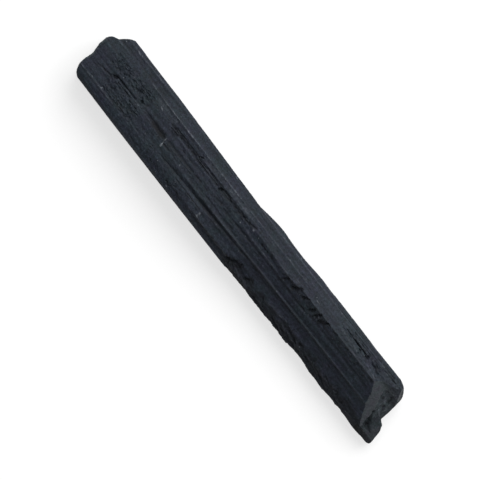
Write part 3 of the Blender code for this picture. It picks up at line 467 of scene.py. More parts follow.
# Pitted, uneven patches of the top: from x, to x, from y, to y, depth, size of the pits and how
# much longer they are along the rod
roughPatches = [
    (-36.8, -26, 0.3, 2.6, 0.33, 0.5, 1.1), (-34.4, -25.6, -3.7, -0.9, 0.28, 0.47, 1),
    (-21.5, 0.8, 1.4, 2.4, 0.2, 0.45, 1.5), (-20.8, 3, -1.6, 1.5, 0.07, 0.5, 1.7),
    (8.6, 32.3, 0.55, 2, 0.19, 0.8, 1), (2.5, 9, 0.6, 2.2, 0.09, 0.5, 1.4), (0, 21, 2.1, 4.9, 0.06, 0.4, 1.5),
    (21, 33, 2.2, 4.4, 0.18, 0.5, 1.5), (29, 37, 3, 5.6, 0.2, 0.45, 1.5),
    (-19.5, 1, -5.2, -3.2, 0.14, 0.5, 1.1), (-26, -19, -5.2, -0.9, 0.08, 0.5, 1.2),
    (-41, 36, -6, 6, 0.045, 0.35, 1.4)]
patchEdge = {
    "fadeAlong": 1.2,
    "fadeAcross": 0.25,
    "pitShare": 1.3,
    "finePitShare": 0.8,
    "fineness": 2.3,
    "level": 0.3,               # the mean of the pits, so that the patch stays level
}


def patchRelief(grid):
    # Uneven patches: pits with crisp rims, fading out at the patch's border.
    relief = np.zeros(grid.shape[:-1])
    x, y, z = grid[..., 0], grid[..., 1], grid[..., 2]
    for number, (fromX, toX, fromY, toY, depth, size, stretch) in enumerate(roughPatches):
        inside = (z > crystal["topFrom"]) & (x > fromX) & (x < toX) & (y > fromY) & (y < toY)
        points = grid[inside]
        edge = softStep(np.minimum(points[:, 0] - fromX, toX - points[:, 0]), 0, patchEdge["fadeAlong"])
        edge *= softStep(np.minimum(points[:, 1] - fromY, toY - points[:, 1]), 0, patchEdge["fadeAcross"])
        scaled = points / (size * stretch, size, size)
        pitted = np.abs(noiseAt(scaled, 5.0 * number + 2)) * patchEdge["pitShare"]
        scaled = scaled * patchEdge["fineness"]
        pitted += np.abs(noiseAt(scaled, 5.0 * number + 4)) * patchEdge["finePitShare"]
        relief[inside] += depth * edge * (pitted - patchEdge["level"])
    return relief


# The broken left side: tilted facets, slanting teeth and crumble
leftBreak = {
    "begins": (-0.5, 3.0),              # x where it starts, and where it is full
    "fades": (35.0, 31.5),              # x where it has ended, and where it is still full
    "upperEdge": (-0.2, 0.6),           # from the ledge's edge down the side
    "lowerEdge": 1.5,
    "edgeWander": [(1.5, 0.9), (0.5, 0.4)],     # bend length, how far
    "rimShare": 0.35,                   # how much of it shows in the outline
    "rimBand": (0.2, 0.9),              # how far from the rim that holds
    "rimBelow": 0.3,
    "facets": [(2.3, 1.2, 1.1, 0.29), (1.0, 0.6, 0.9, 0.17)],    # length, width, slant, depth
    "facetTilt": 1.6,
    "teeth": (1.3, 0.1, 0.9, 0.7),      # pitch, depth, slant, wander
    "toothBend": 0.8,
    "toothDepths": (0.35, 0.65),        # the least share of the depth, and what chance adds
    "toothRise": 0.14,                  # the share of a tooth that its abrupt side takes
    "crumble": (0.4, 0.105),            # pitch, depth
    "lift": 0.21,                       # given back so that the side keeps its outline
}


def sawSteps(along, across, seed):
    # Slanting teeth, each with its own depth: a slow fall and then an abrupt rise.
    pitch, depth, slant, wander = leftBreak["teeth"]
    bend = leftBreak["toothBend"]
    points = np.stack([along / pitch * bend, across / pitch * bend, np.zeros(along.shape)], axis=-1)
    phase = (along - across * slant) / pitch + wander * noiseAt(points, seed)
    tooth = np.floor(phase)
    share = phase - tooth
    least, more = leftBreak["toothDepths"]
    own = least + more * chanceAt(tooth * 12.9898, seed)
    return depth * own * share * softStep(1 - share, 0, leftBreak["toothRise"])


def facetSteps(along, across, values, seed):
    # A crazy paving of tilted facets, each with its own level: a rock's fractured face.
    length, width, slant, depth = values
    tilt = leftBreak["facetTilt"]
    alongCell, acrossCell = (along - across * slant) / length, across / width
    nearest = np.full(along.shape, np.inf)
    level = np.zeros(along.shape)
    for stepAlong in (-1, 0, 1):
        for stepAcross in (-1, 0, 1):
            column, row = np.floor(alongCell) + stepAlong, np.floor(acrossCell) + stepAcross
            chance = [chanceAt(column * 127.1 + row * 311.7 + seed, 17.3 * k) for k in range(5)]
            offAlong, offAcross = alongCell - column - chance[0], acrossCell - row - chance[1]
            away = offAlong ** 2 + offAcross ** 2
            closer = away < nearest
            own = chance[2] + offAlong * (chance[3] - 0.5) * tilt + offAcross * (chance[4] - 0.5) * tilt
            nearest = np.where(closer, away, nearest)
            level = np.where(closer, own, level)
    return depth * level


def breakRelief(grid, arcs, lineOf):
    # The broken left side, between the ledge and the low ridge.
    first, last = arcs[lineOf["ledgeEdge"]], arcs[lineOf["leftLowRidge"]]
    along, across = np.meshgrid(grid[:, 0, 0], arcs - first, indexing="ij")
    wander = sum(reach * noiseAlong(along, size, 3.0 + number)
                 for number, (size, reach) in enumerate(leftBreak["edgeWander"]))
    broken = softStep(across + wander, *leftBreak["upperEdge"])
    broken *= softStep(last - first - across, 0, leftBreak["lowerEdge"])
    broken *= softStep(along, *leftBreak["begins"])
    mask = broken * softStep(along, *leftBreak["fades"])
    fromRim = np.abs(across - (arcs[lineOf["leftRim"]] - first) - leftBreak["rimBelow"])
    rimShare = leftBreak["rimShare"]
    mask *= rimShare + (1 - rimShare) * softStep(fromRim, *leftBreak["rimBand"])
    steps = sawSteps(along, across, 5.1)
    for number, values in enumerate(leftBreak["facets"]):
        steps += facetSteps(along, across, values, 3.0 + number)
    size, depth = leftBreak["crumble"]
    crumble = depth * np.abs(noiseAt(grid / size, 8.0))
    return (steps + crumble - leftBreak["lift"]) * mask, broken


def skinGrid():
    grid, arcs, parts, lineOf = buildGrid(stationsAlong())
    inward = inwardNormals(grid, skin["normalSpan"])
    relief = growthRelief(grid, arcs)
    relief[:, parts == "top"] *= growthLines["topShare"]
    relief[:, parts == "base"] = 0
    relief += patchRelief(grid)
    relief += strongest(grid, grooves) + strongest(grid, pits) - strongest(grid, ridges)
    steps, broken = breakRelief(grid, arcs, lineOf)
    relief += steps
    relief -= growthLines["lift"] * (parts != "base")
    grid = grid + inward * relief[..., None]
    grid[..., 0] -= crystal["listMiddle"]
    grid[..., 1] = np.clip(grid[..., 1], lowCorner.y / mm, highCorner.y / mm)
    grid[..., 2] = np.clip(grid[..., 2], 0, highCorner.z / mm)
    return grid, {"broken": broken, "wornHighlight": wornHighlightEdges(grid)}


def addObject(name, data):
    made = bpy.data.objects.new(name, data)
    bpy.context.scene.collection.objects.link(made)
    return made


def meshFromGrid(name, grid):
    stationCount, lineCount = grid.shape[:2]
    number = np.arange(stationCount * lineCount).reshape(stationCount, lineCount)
    following = np.roll(number, -1, axis=1)
    quads = np.stack([number[:-1], following[:-1], following[1:], number[1:]], axis=-1).reshape(-1, 4)
    faces = quads.tolist() + [number[0][::-1].tolist(), number[-1].tolist()]
    mesh = bpy.data.meshes.new(name)
    mesh.from_pydata((grid.reshape(-1, 3) * mm).tolist(), [], faces)
    mesh.update()
    return mesh


# The two blocks that break the ends off
blocks = {
    "across": (-6.8, 6.8),      # their sheets' reach across the rod
    "up": (-0.6, 10.6),         # the upright sheet's reach in height
    "rise": (-5.6, 10.6),       # the slanting sheet's reach along its slant
    "push": {"bluntBlock": (-12, 0, 0), "steppedBlock": (14, 0, 14)},       # their thickness
}

# The layers of every rough break: shares of its roughness, and how much finer than its dents
breakGrain = {
    "steps": 1.5,
    "stepFineness": 2.3,
    "grain": 0.45,
    "grainFineness": 5,
    "proud": 0.02,              # how far it may stand out of its outline
}


def addBlock(name, sheet):  # a block whose inner face is the rough sheet
    rows, columns = sheet.shape[:2]
    number = np.arange(rows * columns).reshape(rows, columns)
    quads = np.stack([number[:-1, :-1], number[:-1, 1:], number[1:, 1:], number[1:, :-1]], axis=-1)
    block = bmesh.new()
    points = [block.verts.new(point) for point in (sheet.reshape(-1, 3) * mm).tolist()]
    for quad in quads.reshape(-1, 4):
        block.faces.new([points[i] for i in quad])
    pushed = bmesh.ops.extrude_face_region(block, geom=block.faces[:])["geom"]
    moved = [item for item in pushed if isinstance(item, bmesh.types.BMVert)]
    bmesh.ops.translate(block, verts=moved, vec=Vector(blocks["push"][name]) * mm)
    bmesh.ops.triangulate(block, faces=block.faces)
    bmesh.ops.recalc_face_normals(block, faces=block.faces)
    mesh = bpy.data.meshes.new(name)
    block.to_mesh(mesh)
    block.free()
    return addObject(name, mesh)


def roughBreak(points, values, seed):  # an uneven break: large dents, small ones and fine grain
    scaled = points / values["grain"]
    dents = fractalAt(scaled, 2, seed)
    steps = np.abs(noiseAt(scaled * breakGrain["stepFineness"], seed + 31)) * breakGrain["steps"]
    grain = fractalAt(scaled * breakGrain["grainFineness"], 2, seed + 57) * breakGrain["grain"]
    return values["roughness"] * (dents + steps + grain)


bluntEnd = {
    # Outline seen from above, from the right side to the left side
    "outline": [(-34.6, 6.6), (-36.4, 5.7), (-37.1, 5.2), (-37.5, 4.75), (-37.9, 4.25), (-38.25, 3.75),
                (-39.1, 3.35), (-39.6, 2.75), (-39.72, 2.2), (-39.72, 1.2), (-39.68, 0.7), (-39.48, 0.2),
                (-39.36, -0.3), (-39.2, -0.8), (-39.13, -1.3), (-39.25, -2.3), (-39.18, -3.3),
                (-39.1, -3.8), (-38.92, -4.3), (-38.66, -4.8), (-38.2, -5.25), (-37.5, -5.6), (-35.5, -6.6)],
    "pitch": 0.17,
    "roughness": 0.13,
    "grain": 1.9,
    "roundFrom": 8.9,           # the top edge is rubbed round above this height
    "roundBack": 0.5,
}


def bluntSheet():
    pitch = bluntEnd["pitch"]
    y, z = np.meshgrid(np.arange(*blocks["across"], pitch), np.arange(*blocks["up"], pitch), indexing="ij")
    points = np.stack([outlineX(bluntEnd["outline"], y), y, z], axis=-1)
    points[..., 0] += np.clip(roughBreak(points, bluntEnd, 3), -breakGrain["proud"], None)
    points[..., 0] += bluntEnd["roundBack"] * np.clip(z - bluntEnd["roundFrom"], 0, None) ** 2
    return points


steppedEnd = {
    "outline": [(32.5, 6.6), (34.4, 5.75), (35.6, 5.45), (36.2, 5.2), (36.84, 4.7), (37.3, 4.2),
                (37.54, 3.7), (37.62, 3.2), (37.66, 2.7), (37.78, 2.2), (37.86, 1.2), (37.94, 0.5),
                (37.98, -0.4), (38.0, -0.9), (38.3, -1.15), (38.9, -1.4), (39.08, -1.8), (39.45, -2.3),
                (39.6, -2.8), (39.82, -3.8), (39.96, -4.3), (40.04, -4.8), (39.9, -5.15), (39.5, -5.3),
                (38.0, -6.6)],
    # The rough face falls from the strip's lower border at first gently, then steeply to its foot
    "brow": [(36.8, 5.6), (36.3, 4.6), (35.0, 3.8), (33.8, 3.3), (34.1, 2.6), (34.7, 1.6), (35.1, 0.6),
             (35.7, -0.6), (36.1, -1.5), (36.4, -2.3), (36.6, -4.0), (36.7, -5.6)],
    "browFall": 1.3,
    "browEase": 0.55,           # how much gentler it falls on the right side
    "browEaseFrom": (1.8, 3.4),
    "slopeFoot": [(36.9, 6.6), (37.9, 3.8), (38.3, 2.9), (38.5, 0.9), (38.5, -0.5), (38.7, -2.3),
                  (38.8, -6.6)],
    "slopeLean": 0.16,
    "stubSide": -1.05,
    "stubRoof": 4.35,           # its height at stubRoofAt, and how much it falls for one millimetre
    "stubRoofAt": 38,
    "stubFall": 0.1,
    "stubRim": (-4.0, -4.5, 0.45),      # a rim along its outer side: from y, to y, height
    "rimWalls": (0.12, 0.08, 0.15),     # its inner wall's reach in and out, and half the outer one
    "footFall": 1.1,            # its roof slopes down this steeply outside the rim
    # The smooth strip: a place on it, and how much it rises for one millimetre along and across
    "stripPlace": (33.15, 0.6, 8.75),
    "stripRise": (-0.68, 0.2),
    "stripFlare": (2.9, 0.8),   # from this y on, it rises more steeply by so much
    "pitch": 0.13,
    "roughness": 0.18,
    "grain": 1.4,
    "stripWithin": 0.03,        # a point this near the strip's plane is on it
    "stripRoughness": 0.18,     # the strip's share of the roughness
    "stripFades": (2.7, 3.5),   # from this y to that, it turns as rough as the rest
    "swell": 0.08,              # makes up for what the roughness takes off
    "pocket": [(36.1, -1.1), (38.9, -3.9), (36.6, -3.95)],      # its corners seen from above
    "pocketDepth": 0.75,
    "pocketWall": 0.45,
    # Small hollows: place seen from above, size along and across, depth
    "pits": [((36.3, 2.6), 0.4, 0.35, 0.22), ((35.2, 3.7), 0.4, 0.25, 0.1), ((36.5, 0.6), 0.4, 0.5, 0.2),
             ((36.2, -1.2), 0.3, 0.5, 0.2), ((36.5, 1.9), 0.3, 0.6, 0.15), ((35.4, 1.5), 0.3, 0.5, 0.1),
             ((36.95, 4.5), 0.6, 0.6, 0.0)],
    "pitBowl": 0.8,             # lower makes their walls steeper
    # The sheet is cast from a slanting line through this x and z, from this far out
    "castFrom": (38, 4),
    "castReach": 15.0,
    "castStep": 0.2,
    "castHalvings": 8,
}


def hollowed(points, place, radiusX, radiusY, depth):  # the depth of a round hollow seen from above
    away = ((points[..., 0] - place[0]) / radiusX) ** 2 + ((points[..., 1] - place[1]) / radiusY) ** 2
    return depth * np.clip(1 - away, 0, None) ** steppedEnd["pitBowl"]


def pocketShare(points):  # 1 in the middle of the three-cornered pocket, 0 from its rim outwards
    corners = steppedEnd["pocket"]
    inside = np.full(points.shape[:-1], np.inf)
    for (fromX, fromY), (toX, toY) in zip(corners, corners[1:] + corners[:1]):
        runX, runY = toX - fromX, toY - fromY
        side = (runX * (points[..., 1] - fromY) - runY * (points[..., 0] - fromX)) / math.hypot(runX, runY)
        inside = np.minimum(inside, -side)
    return np.clip(inside / steppedEnd["pocketWall"], 0, 1)


def steppedExcess(points):
    # How far a point lies outside the stepped end, and above the strip: less than zero inside.
    end = steppedEnd
    x, y, z = points[..., 0], points[..., 1], points[..., 2]
    beyond = x - outlineX(end["outline"], y)
    lean = end["slopeLean"]
    beyondSlope = (x + lean * z - outlineX(end["slopeFoot"], y)) / math.hypot(1, lean)
    placeX, placeY, placeZ = end["stripPlace"]
    riseX, riseY = end["stripRise"]
    flareFrom, flare = end["stripFlare"]
    strip = placeZ + riseX * (x - placeX) + riseY * (y - placeY) + flare * np.clip(y - flareFrom, 0, None)
    aboveStrip = (z - strip) / math.hypot(1, riseX, riseY)
    browX = outlineX(end["brow"], y)
    fall = end["browFall"] * (1 - end["browEase"] * softStep(y, *end["browEaseFrom"]))
    aboveBrow = (z - (strip + riseX * (browX - x)) + fall * (x - browX)) / np.hypot(1, fall)
    rimIn, rimOut, rimHeight = end["stubRim"]
    wallIn, wallOut, outerWall = end["rimWalls"]
    rim = rimHeight * softStep(y, rimIn + wallIn, rimIn - wallOut)
    rim = rim * softStep(y, rimOut - outerWall, rimOut + outerWall)
    aboveRoof = z - end["stubRoof"] + end["stubFall"] * (x - end["stubRoofAt"]) - rim
    aboveRoof += end["footFall"] * np.clip(rimOut - y, 0, None)
    stub = np.maximum(aboveRoof, y - end["stubSide"])
    slope = np.maximum(beyondSlope, aboveBrow)
    return np.maximum(np.maximum(beyond, np.minimum(slope, stub)), aboveStrip), aboveStrip


def steppedSheet():
    # Cast down from the upper right, so that one sheet covers the strip, slope, stub and its roof.
    end = steppedEnd
    diagonal = math.sqrt(0.5)
    middleX, middleZ = end["castFrom"]
    across, rise = np.meshgrid(np.arange(*blocks["across"], end["pitch"]),
                               np.arange(*blocks["rise"], end["pitch"]), indexing="ij")
    base = np.stack([middleX - rise * diagonal, across, middleZ + rise * diagonal], axis=-1)
    outwards = np.array([diagonal, 0, diagonal])
    reach = np.full(across.shape, end["castReach"])
    outside = np.full(across.shape, True)
    while outside.any():
        outside = steppedExcess(base + reach[..., None] * outwards)[0] > 0
        reach[outside] -= end["castStep"]
    for halving in range(1, end["castHalvings"] + 1):
        middle = reach + end["castStep"] / 2 ** halving
        inside = steppedExcess(base + middle[..., None] * outwards)[0] <= 0
        reach[inside] = middle[inside]
    points = base + reach[..., None] * outwards
    onStrip = np.abs(steppedExcess(points)[1]) < end["stripWithin"]
    smooth = end["stripRoughness"]
    share = np.where(onStrip, smooth + (1 - smooth) * softStep(points[..., 1], *end["stripFades"]), 1.0)
    lift = roughBreak(points, end, 9) * share
    lift -= end["pocketDepth"] * pocketShare(points)
    for hollow in end["pits"]:
        lift -= hollowed(points, *hollow)
    lift = np.minimum(lift + end["swell"], end["swell"] + breakGrain["proud"])
    return points + outwards * lift[..., None]


def pointKeys(mesh, grain=0.001):  # each point's place as one whole number, and in millimetres
    places = np.empty(len(mesh.vertices) * 3, dtype=np.float32)
    mesh.vertices.foreach_get("co", places)
    whole = np.rint(places.reshape(-1, 3).astype(float) / (mm * grain)).astype(np.int64)
    return whole @ np.array([1, 1 << 20, 1 << 40]), places.reshape(-1, 3) / mm


def setAttribute(mesh, name, values):
    attribute = mesh.attributes.new(name, "FLOAT", "POINT")
    attribute.data.foreach_set("value", np.ascontiguousarray(values, dtype=np.float32).ravel())


# Where the stone's look changes, in millimetres, and how strongly, from 0 to 1
masks = {
    "grooveWiden": 1.3,         # the painted shade reaches a little past a groove
    "pitWiden": 1.2,
    "fullDepth": 0.2,           # the depth that gets the full painted shade
    "depthMost": 0.8,
    "patchDepth": 0.42,
    "patchMost": 0.3,
    "stubFrom": 36.3,
    "stubBelow": 5.3,
    "stubShade": 0.48,          # how much darker the stub is painted than the rest of the end, as painted shade
    "footFrom": 36.2,
    "footSide": (-4.32, -4.5),
    "endPitShade": 0.8,
    "rubbedEnd": 0.6,           # how far the end's right side looks like the top
    "rubbedFrom": (3.0, 3.9),
    "freshWithin": (0.09, 0.05),        # from the strip's own plane
    "freshSide": (3.5, 2.7),
    "speckRagged": 0.5,
    "speckStretch": 0.02,
    "speckWiden": 1.8,
}


def shadedStubFoot(places):  # 1 on the low outer side of the stub, painted in shade as it faces away from the light
    return (places[:, 0] > masks["footFrom"]) * softStep(places[:, 1], *masks["footSide"])


def paintedShadeMask(places):  # painted shade from 0 to 1: how deep in a groove, pit, patch or pocket each point lies, with the stub and its foot, where shade falls
    depth = strongest(places, grooves, masks["grooveWiden"]) + strongest(places, pits, masks["pitWiden"])
    mask = np.clip(depth / masks["fullDepth"], 0, masks["depthMost"])
    mask += np.clip(patchRelief(places) / masks["patchDepth"], 0, masks["patchMost"])
    onEnd = places[:, 0] > crystal["endFrom"]
    onStub = (places[:, 0] > masks["stubFrom"]) * (places[:, 2] < masks["stubBelow"])
    layers = [strongest(places, shades), shadedStubFoot(places), masks["stubShade"] * onStub,
              onEnd * pocketShare(places) * masks["endPitShade"]]
    for spot, radiusX, radiusY, _ in steppedEnd["pits"]:
        layers.append(onEnd * hollowed(places, spot, radiusX, radiusY, masks["endPitShade"]))
    for layer in layers:
        mask = np.maximum(mask, layer)
    return np.clip(mask, 0, 1)


# pale scuffs, scars and specks, together with painted highlights and veils of painted light
def scuffAndHighlightMask(places):
    mask = strongest(places, scuffsAndHighlights)
    half = masks["speckStretch"]
    for number, (x, y, radius, strength) in enumerate(scuffsAndHighlights["specks"]):
        speck = (x - half, y, x + half, y, radius * masks["speckWiden"], strength)
        mask = np.maximum(mask, markShare(places, speck, masks["speckRagged"], number * 1.7))
    return mask


# Colours, gloss and grain of the stone, with sizes in millimetres
stone = {
    "deepTint": (0.0161, 0.0197, 0.0294, 1),
    "greyTint": (0.0154, 0.0219, 0.0281, 1),
    "tintSize": 5.0,
    "warmGrain": (1.06, 0.98, 1.05, 1),
    "coolGrain": (0.94, 1.02, 0.99, 1),
    "tintGrainSize": 0.9,
    "brokenTint": (0.0120, 0.0142, 0.0182, 1),
    # the strip's paler tint: partly a fresh break's own colour, partly a painted sheen of the light it
    # catches
    "freshSheenTint": (0.046, 0.052, 0.059, 1),
    "endTint": (0.032, 0.040, 0.046, 1),
    "hollowShade": 0.26,
    "freshGrain": 0.5,
    # a paler tint on edges that stand proud: partly wear, partly a painted highlight
    "wornHighlightTint": (0.050, 0.056, 0.066, 1),
    "wornHighlightShare": 0.22,
    # the pale tint of scuffs and scars, also used for painted highlights and veils of painted light
    "scuffAndHighlightTint": (0.23, 0.25, 0.28, 1),
    "scuffEdge": 1.6,           # higher makes faint scuffs and painted highlights fainter still
    "speckTint": (0.10, 0.11, 0.125, 1),
    "speckSpacing": 1.1,
    "speckRadius": 0.11,
    "speckShare": 0.3,
    "roughness": 0.60,
    "brokenRoughness": 0.82,
    "freshRoughness": 0.52,
    "grainGloss": 0.06,         # how much the grain changes the roughness
    "specular": 0.15,
    # Length, width, detail and evenness of the noise, darkest and lightest tone, height
    "lines": (11.0, 0.42, 3.0, 0.6, (0.74, 1.3), 0.05),
    "grain": (0.5, 0.5, 4.0, 0.62, (0.6, 1.42), 0.08),
    "fineGrain": (0.22, 0.22, 4.0, 0.5, (0.6, 1.4), 0.03),
    "noiseRange": (0.3, 0.7),   # where the noise's own values lie
    "patchRange": (0.42, 0.6),  # wear keeps to the high spots of the grain
    "patchLeast": 0.35,
    "driftRange": (0.38, 0.62),
}


def addNode(tree, kind, inputs=None, **settings):
    node = tree.nodes.new(kind)
    for name, value in settings.items():
        setattr(node, name, value)
    for name, value in (inputs or {}).items():
        if isinstance(value, bpy.types.NodeSocket):
            tree.links.new(value, node.inputs[name])
        else:
            node.inputs[name].default_value = value
    return node


def newGroup(name, inputs, output):
    # An empty group with named inputs and one output; returns it with the two ends inside.
    tree = bpy.data.node_groups.new(name, "ShaderNodeTree")
    for label, (kind, value) in inputs.items():
        socket = tree.interface.new_socket(label, in_out="INPUT", socket_type="NodeSocket" + kind)
        if kind != "Vector":
            socket.default_value = value
    tree.interface.new_socket(output[0], in_out="OUTPUT", socket_type="NodeSocket" + output[1])
    return tree, tree.nodes.new("NodeGroupInput").outputs, tree.nodes.new("NodeGroupOutput").inputs


def useGroup(tree, group, **inputs):
    return addNode(tree, "ShaderNodeGroup", inputs, node_tree=group).outputs[0]


def calc(tree, operation, first, second):
    return addNode(tree, "ShaderNodeMath", {0: first, 1: second}, operation=operation).outputs[0]


def product(tree, *values):
    result = values[0]
    for value in values[1:]:
        result = calc(tree, "MULTIPLY", result, value)
    return result


def vectorCalc(tree, operation, vector, inputs):
    return addNode(tree, "ShaderNodeVectorMath", {0: vector, **inputs}, operation=operation).outputs[0]


def spread(tree, value, fromRange, toRange):
    return addNode(tree, "ShaderNodeMapRange", {
        "Value": value, "From Min": fromRange[0], "From Max": fromRange[1],
        "To Min": toRange[0], "To Max": toRange[1]}).outputs[0]


def mixColors(tree, share, first, second, blend="MIX"):
    colors = {"Factor": share, 6: first, 7: second}
    return addNode(tree, "ShaderNodeMix", colors, data_type="RGBA", blend_type=blend).outputs[2]


def noiseGroup():
    # Noise with its own length along the rod and width across it
    tree, given, result = newGroup("stretchedNoise", {
        "Place": ("Vector", None), "Length": ("Float", 1.0), "Width": ("Float", 1.0),
        "Detail": ("Float", 4.0), "Evenness": ("Float", 0.6)}, ("Height", "Float"))
    size = addNode(tree, "ShaderNodeCombineXYZ", {
        "X": given["Length"], "Y": given["Width"], "Z": given["Width"]}).outputs[0]
    scaled = vectorCalc(tree, "DIVIDE", given["Place"], {1: size})
    height = addNode(tree, "ShaderNodeTexNoise", {
        "Vector": scaled, "Scale": 1.0, "Detail": given["Detail"], "Roughness": given["Evenness"]})
    tree.links.new(height.outputs[0], result["Height"])
    return tree


def speckGroup():
    tree, given, result = newGroup("scatteredSpecks", {
        "Place": ("Vector", None), "Spacing": ("Float", 1.0), "Radius": ("Float", 0.1),
        "Share": ("Float", 0.2)}, ("Mask", "Float"))
    scale = calc(tree, "DIVIDE", 1.0, given["Spacing"])
    cells = addNode(tree, "ShaderNodeTexVoronoi", {"Vector": given["Place"], "Scale": scale}).outputs
    radius = calc(tree, "DIVIDE", given["Radius"], given["Spacing"])
    near = calc(tree, "SUBTRACT", 1.0, calc(tree, "DIVIDE", cells["Distance"], radius))
    picked = addNode(tree, "ShaderNodeSeparateColor", {"Color": cells["Color"]}).outputs[0]
    chosen = calc(tree, "LESS_THAN", picked, given["Share"])
    own = addNode(tree, "ShaderNodeMath", {0: calc(tree, "MULTIPLY", near, 2.0), 1: chosen},
                  operation="MULTIPLY", use_clamp=True)
    tree.links.new(own.outputs[0], result["Mask"])
    return tree


def driftGroup():
    tree, given, result = newGroup("toneDrift", {
        "Place": ("Vector", None), "Size": ("Float", 5.0), "First": ("Color", (0, 0, 0, 1)),
        "Second": ("Color", (1, 1, 1, 1))}, ("Color", "Color"))
    scale = calc(tree, "DIVIDE", 1.0, given["Size"])
    drift = addNode(tree, "ShaderNodeTexNoise", {"Vector": given["Place"], "Scale": scale, "Detail": 3.0})
    share = spread(tree, drift.outputs[0], stone["driftRange"], (0.0, 1.0))
    tree.links.new(mixColors(tree, share, given["First"], given["Second"]), result["Color"])
    return tree


def blackTourmaline():
    material = bpy.data.materials.new("blackTourmaline")
    material.use_nodes = True
    tree = material.node_tree
    shader = tree.nodes["Principled BSDF"]
    stretchedNoise, toneDrift = noiseGroup(), driftGroup()
    here = addNode(tree, "ShaderNodeTexCoord").outputs["Object"]
    place = vectorCalc(tree, "SCALE", here, {"Scale": 1 / mm})
    broken, endFace, freshSheen, wornHighlight, hollow, scuffedAndHighlit = [
        addNode(tree, "ShaderNodeAttribute", attribute_name=name).outputs["Fac"]
        for name in ("broken", "endFace", "freshSheen", "wornHighlight", "hollow", "scuffedAndHighlit")]
    heights, tones, reliefs = [], [], []
    for name in ("lines", "grain", "fineGrain"):
        length, width, detail, evenness, toneRange, relief = stone[name]
        heights.append(useGroup(tree, stretchedNoise, Place=place, Length=length, Width=width,
                                Detail=detail, Evenness=evenness))
        tones.append(spread(tree, heights[-1], stone["noiseRange"], toneRange))
        reliefs.append(product(tree, heights[-1], relief))
    grain = heights[1]
    specks = useGroup(tree, speckGroup(), Place=place, Spacing=stone["speckSpacing"],
                      Radius=stone["speckRadius"], Share=stone["speckShare"])

    # Colour: the long faces, the breaks, the pale strip with its painted sheen, painted shade in the hollows,
    # then what is rubbed pale on top, with painted highlights along the edges and veils of painted light
    color = useGroup(tree, toneDrift, Place=place, Size=stone["tintSize"], First=stone["deepTint"],
                     Second=stone["greyTint"])
    for mask, tint in ((broken, "brokenTint"), (endFace, "endTint"), (freshSheen, "freshSheenTint")):
        color = mixColors(tree, mask, color, stone[tint])
    tintGrain = useGroup(tree, toneDrift, Place=place, Size=stone["tintGrainSize"],
                         First=stone["warmGrain"], Second=stone["coolGrain"])
    color = mixColors(tree, 1.0, color, tintGrain, "MULTIPLY")
    calm = spread(tree, freshSheen, (0.0, 1.0), (1.0, stone["freshGrain"]))
    tone = calc(tree, "SUBTRACT", product(tree, *tones), 1.0)
    tone = calc(tree, "ADD", product(tree, tone, calm), 1.0)
    # painted shade: the colour is darker in grooves, pits, patch pits, the pocket and on the stub
    tone = product(tree, tone, spread(tree, hollow, (0.0, 1.0), (1.0, stone["hollowShade"])))
    color = vectorCalc(tree, "SCALE", color, {"Scale": tone})
    patchy = spread(tree, grain, stone["patchRange"], (stone["patchLeast"], 1.0))
    # edges that stand proud: pale wear and a painted highlight
    color = mixColors(tree, product(tree, wornHighlight, stone["wornHighlightShare"], patchy), color, stone["wornHighlightTint"])
    color = mixColors(tree, specks, color, stone["speckTint"])
    # pale scuffs and scars, and painted highlights and veils of painted light
    scuffAndHighlight = product(tree, calc(tree, "POWER", scuffedAndHighlit, stone["scuffEdge"]), patchy)
    color = mixColors(tree, scuffAndHighlight, color, stone["scuffAndHighlightTint"])
    tree.links.new(color, shader.inputs["Base Color"])

    # Gloss: dull on the breaks, brighter on the strip
    unpolished = calc(tree, "MAXIMUM", broken, endFace)
    gloss = spread(tree, unpolished, (0.0, 1.0), (stone["roughness"], stone["brokenRoughness"]))
    freshGloss = product(tree, freshSheen, stone["freshRoughness"] - stone["brokenRoughness"])
    gloss = calc(tree, "ADD", gloss, freshGloss)
    grainGloss = spread(tree, grain, stone["noiseRange"], (-stone["grainGloss"], stone["grainGloss"]))
    tree.links.new(calc(tree, "ADD", gloss, grainGloss), shader.inputs["Roughness"])
    shader.inputs["Specular IOR Level"].default_value = stone["specular"]

    # Relief too fine for the mesh: growth lines on the long faces, grain everywhere
    whole = calc(tree, "SUBTRACT", 1.0, unpolished)
    height = calc(tree, "ADD", product(tree, reliefs[0], whole), calc(tree, "ADD", *reliefs[1:]))
    bump = addNode(tree, "ShaderNodeBump", {"Height": height, "Distance": mm, "Strength": 1.0})
    tree.links.new(bump.outputs[0], shader.inputs["Normal"])
    return material


print("Growing the long faces and their furrows")
grid, faceMasks = skinGrid()
crystalSkin = addObject("crystalSkin", meshFromGrid("crystalSkin", grid))
for name, values in faceMasks.items():
    setAttribute(crystalSkin.data, name, values)

print("Breaking the ends")
grownKeys = pointKeys(crystalSkin.data)[0]
for name, sheet in (("bluntBlock", bluntSheet()), ("steppedBlock", steppedSheet())):
    sheet[..., 0] = np.clip(sheet[..., 0] - crystal["listMiddle"], lowCorner.x / mm, highCorner.x / mm)
    cut = crystalSkin.modifiers.new(name, "BOOLEAN")
    cut.operation = "DIFFERENCE"
    cut.solver = "EXACT"
    cut.object = addBlock(name, sheet)
bpy.context.view_layer.update()
depsgraph = bpy.context.evaluated_depsgraph_get()
finished = bpy.data.meshes.new_from_object(crystalSkin.evaluated_get(depsgraph))
crystalSkin.modifiers.clear()
crystalSkin.data = finished
for name in blocks["push"]:
    bpy.data.objects.remove(bpy.data.objects[name])

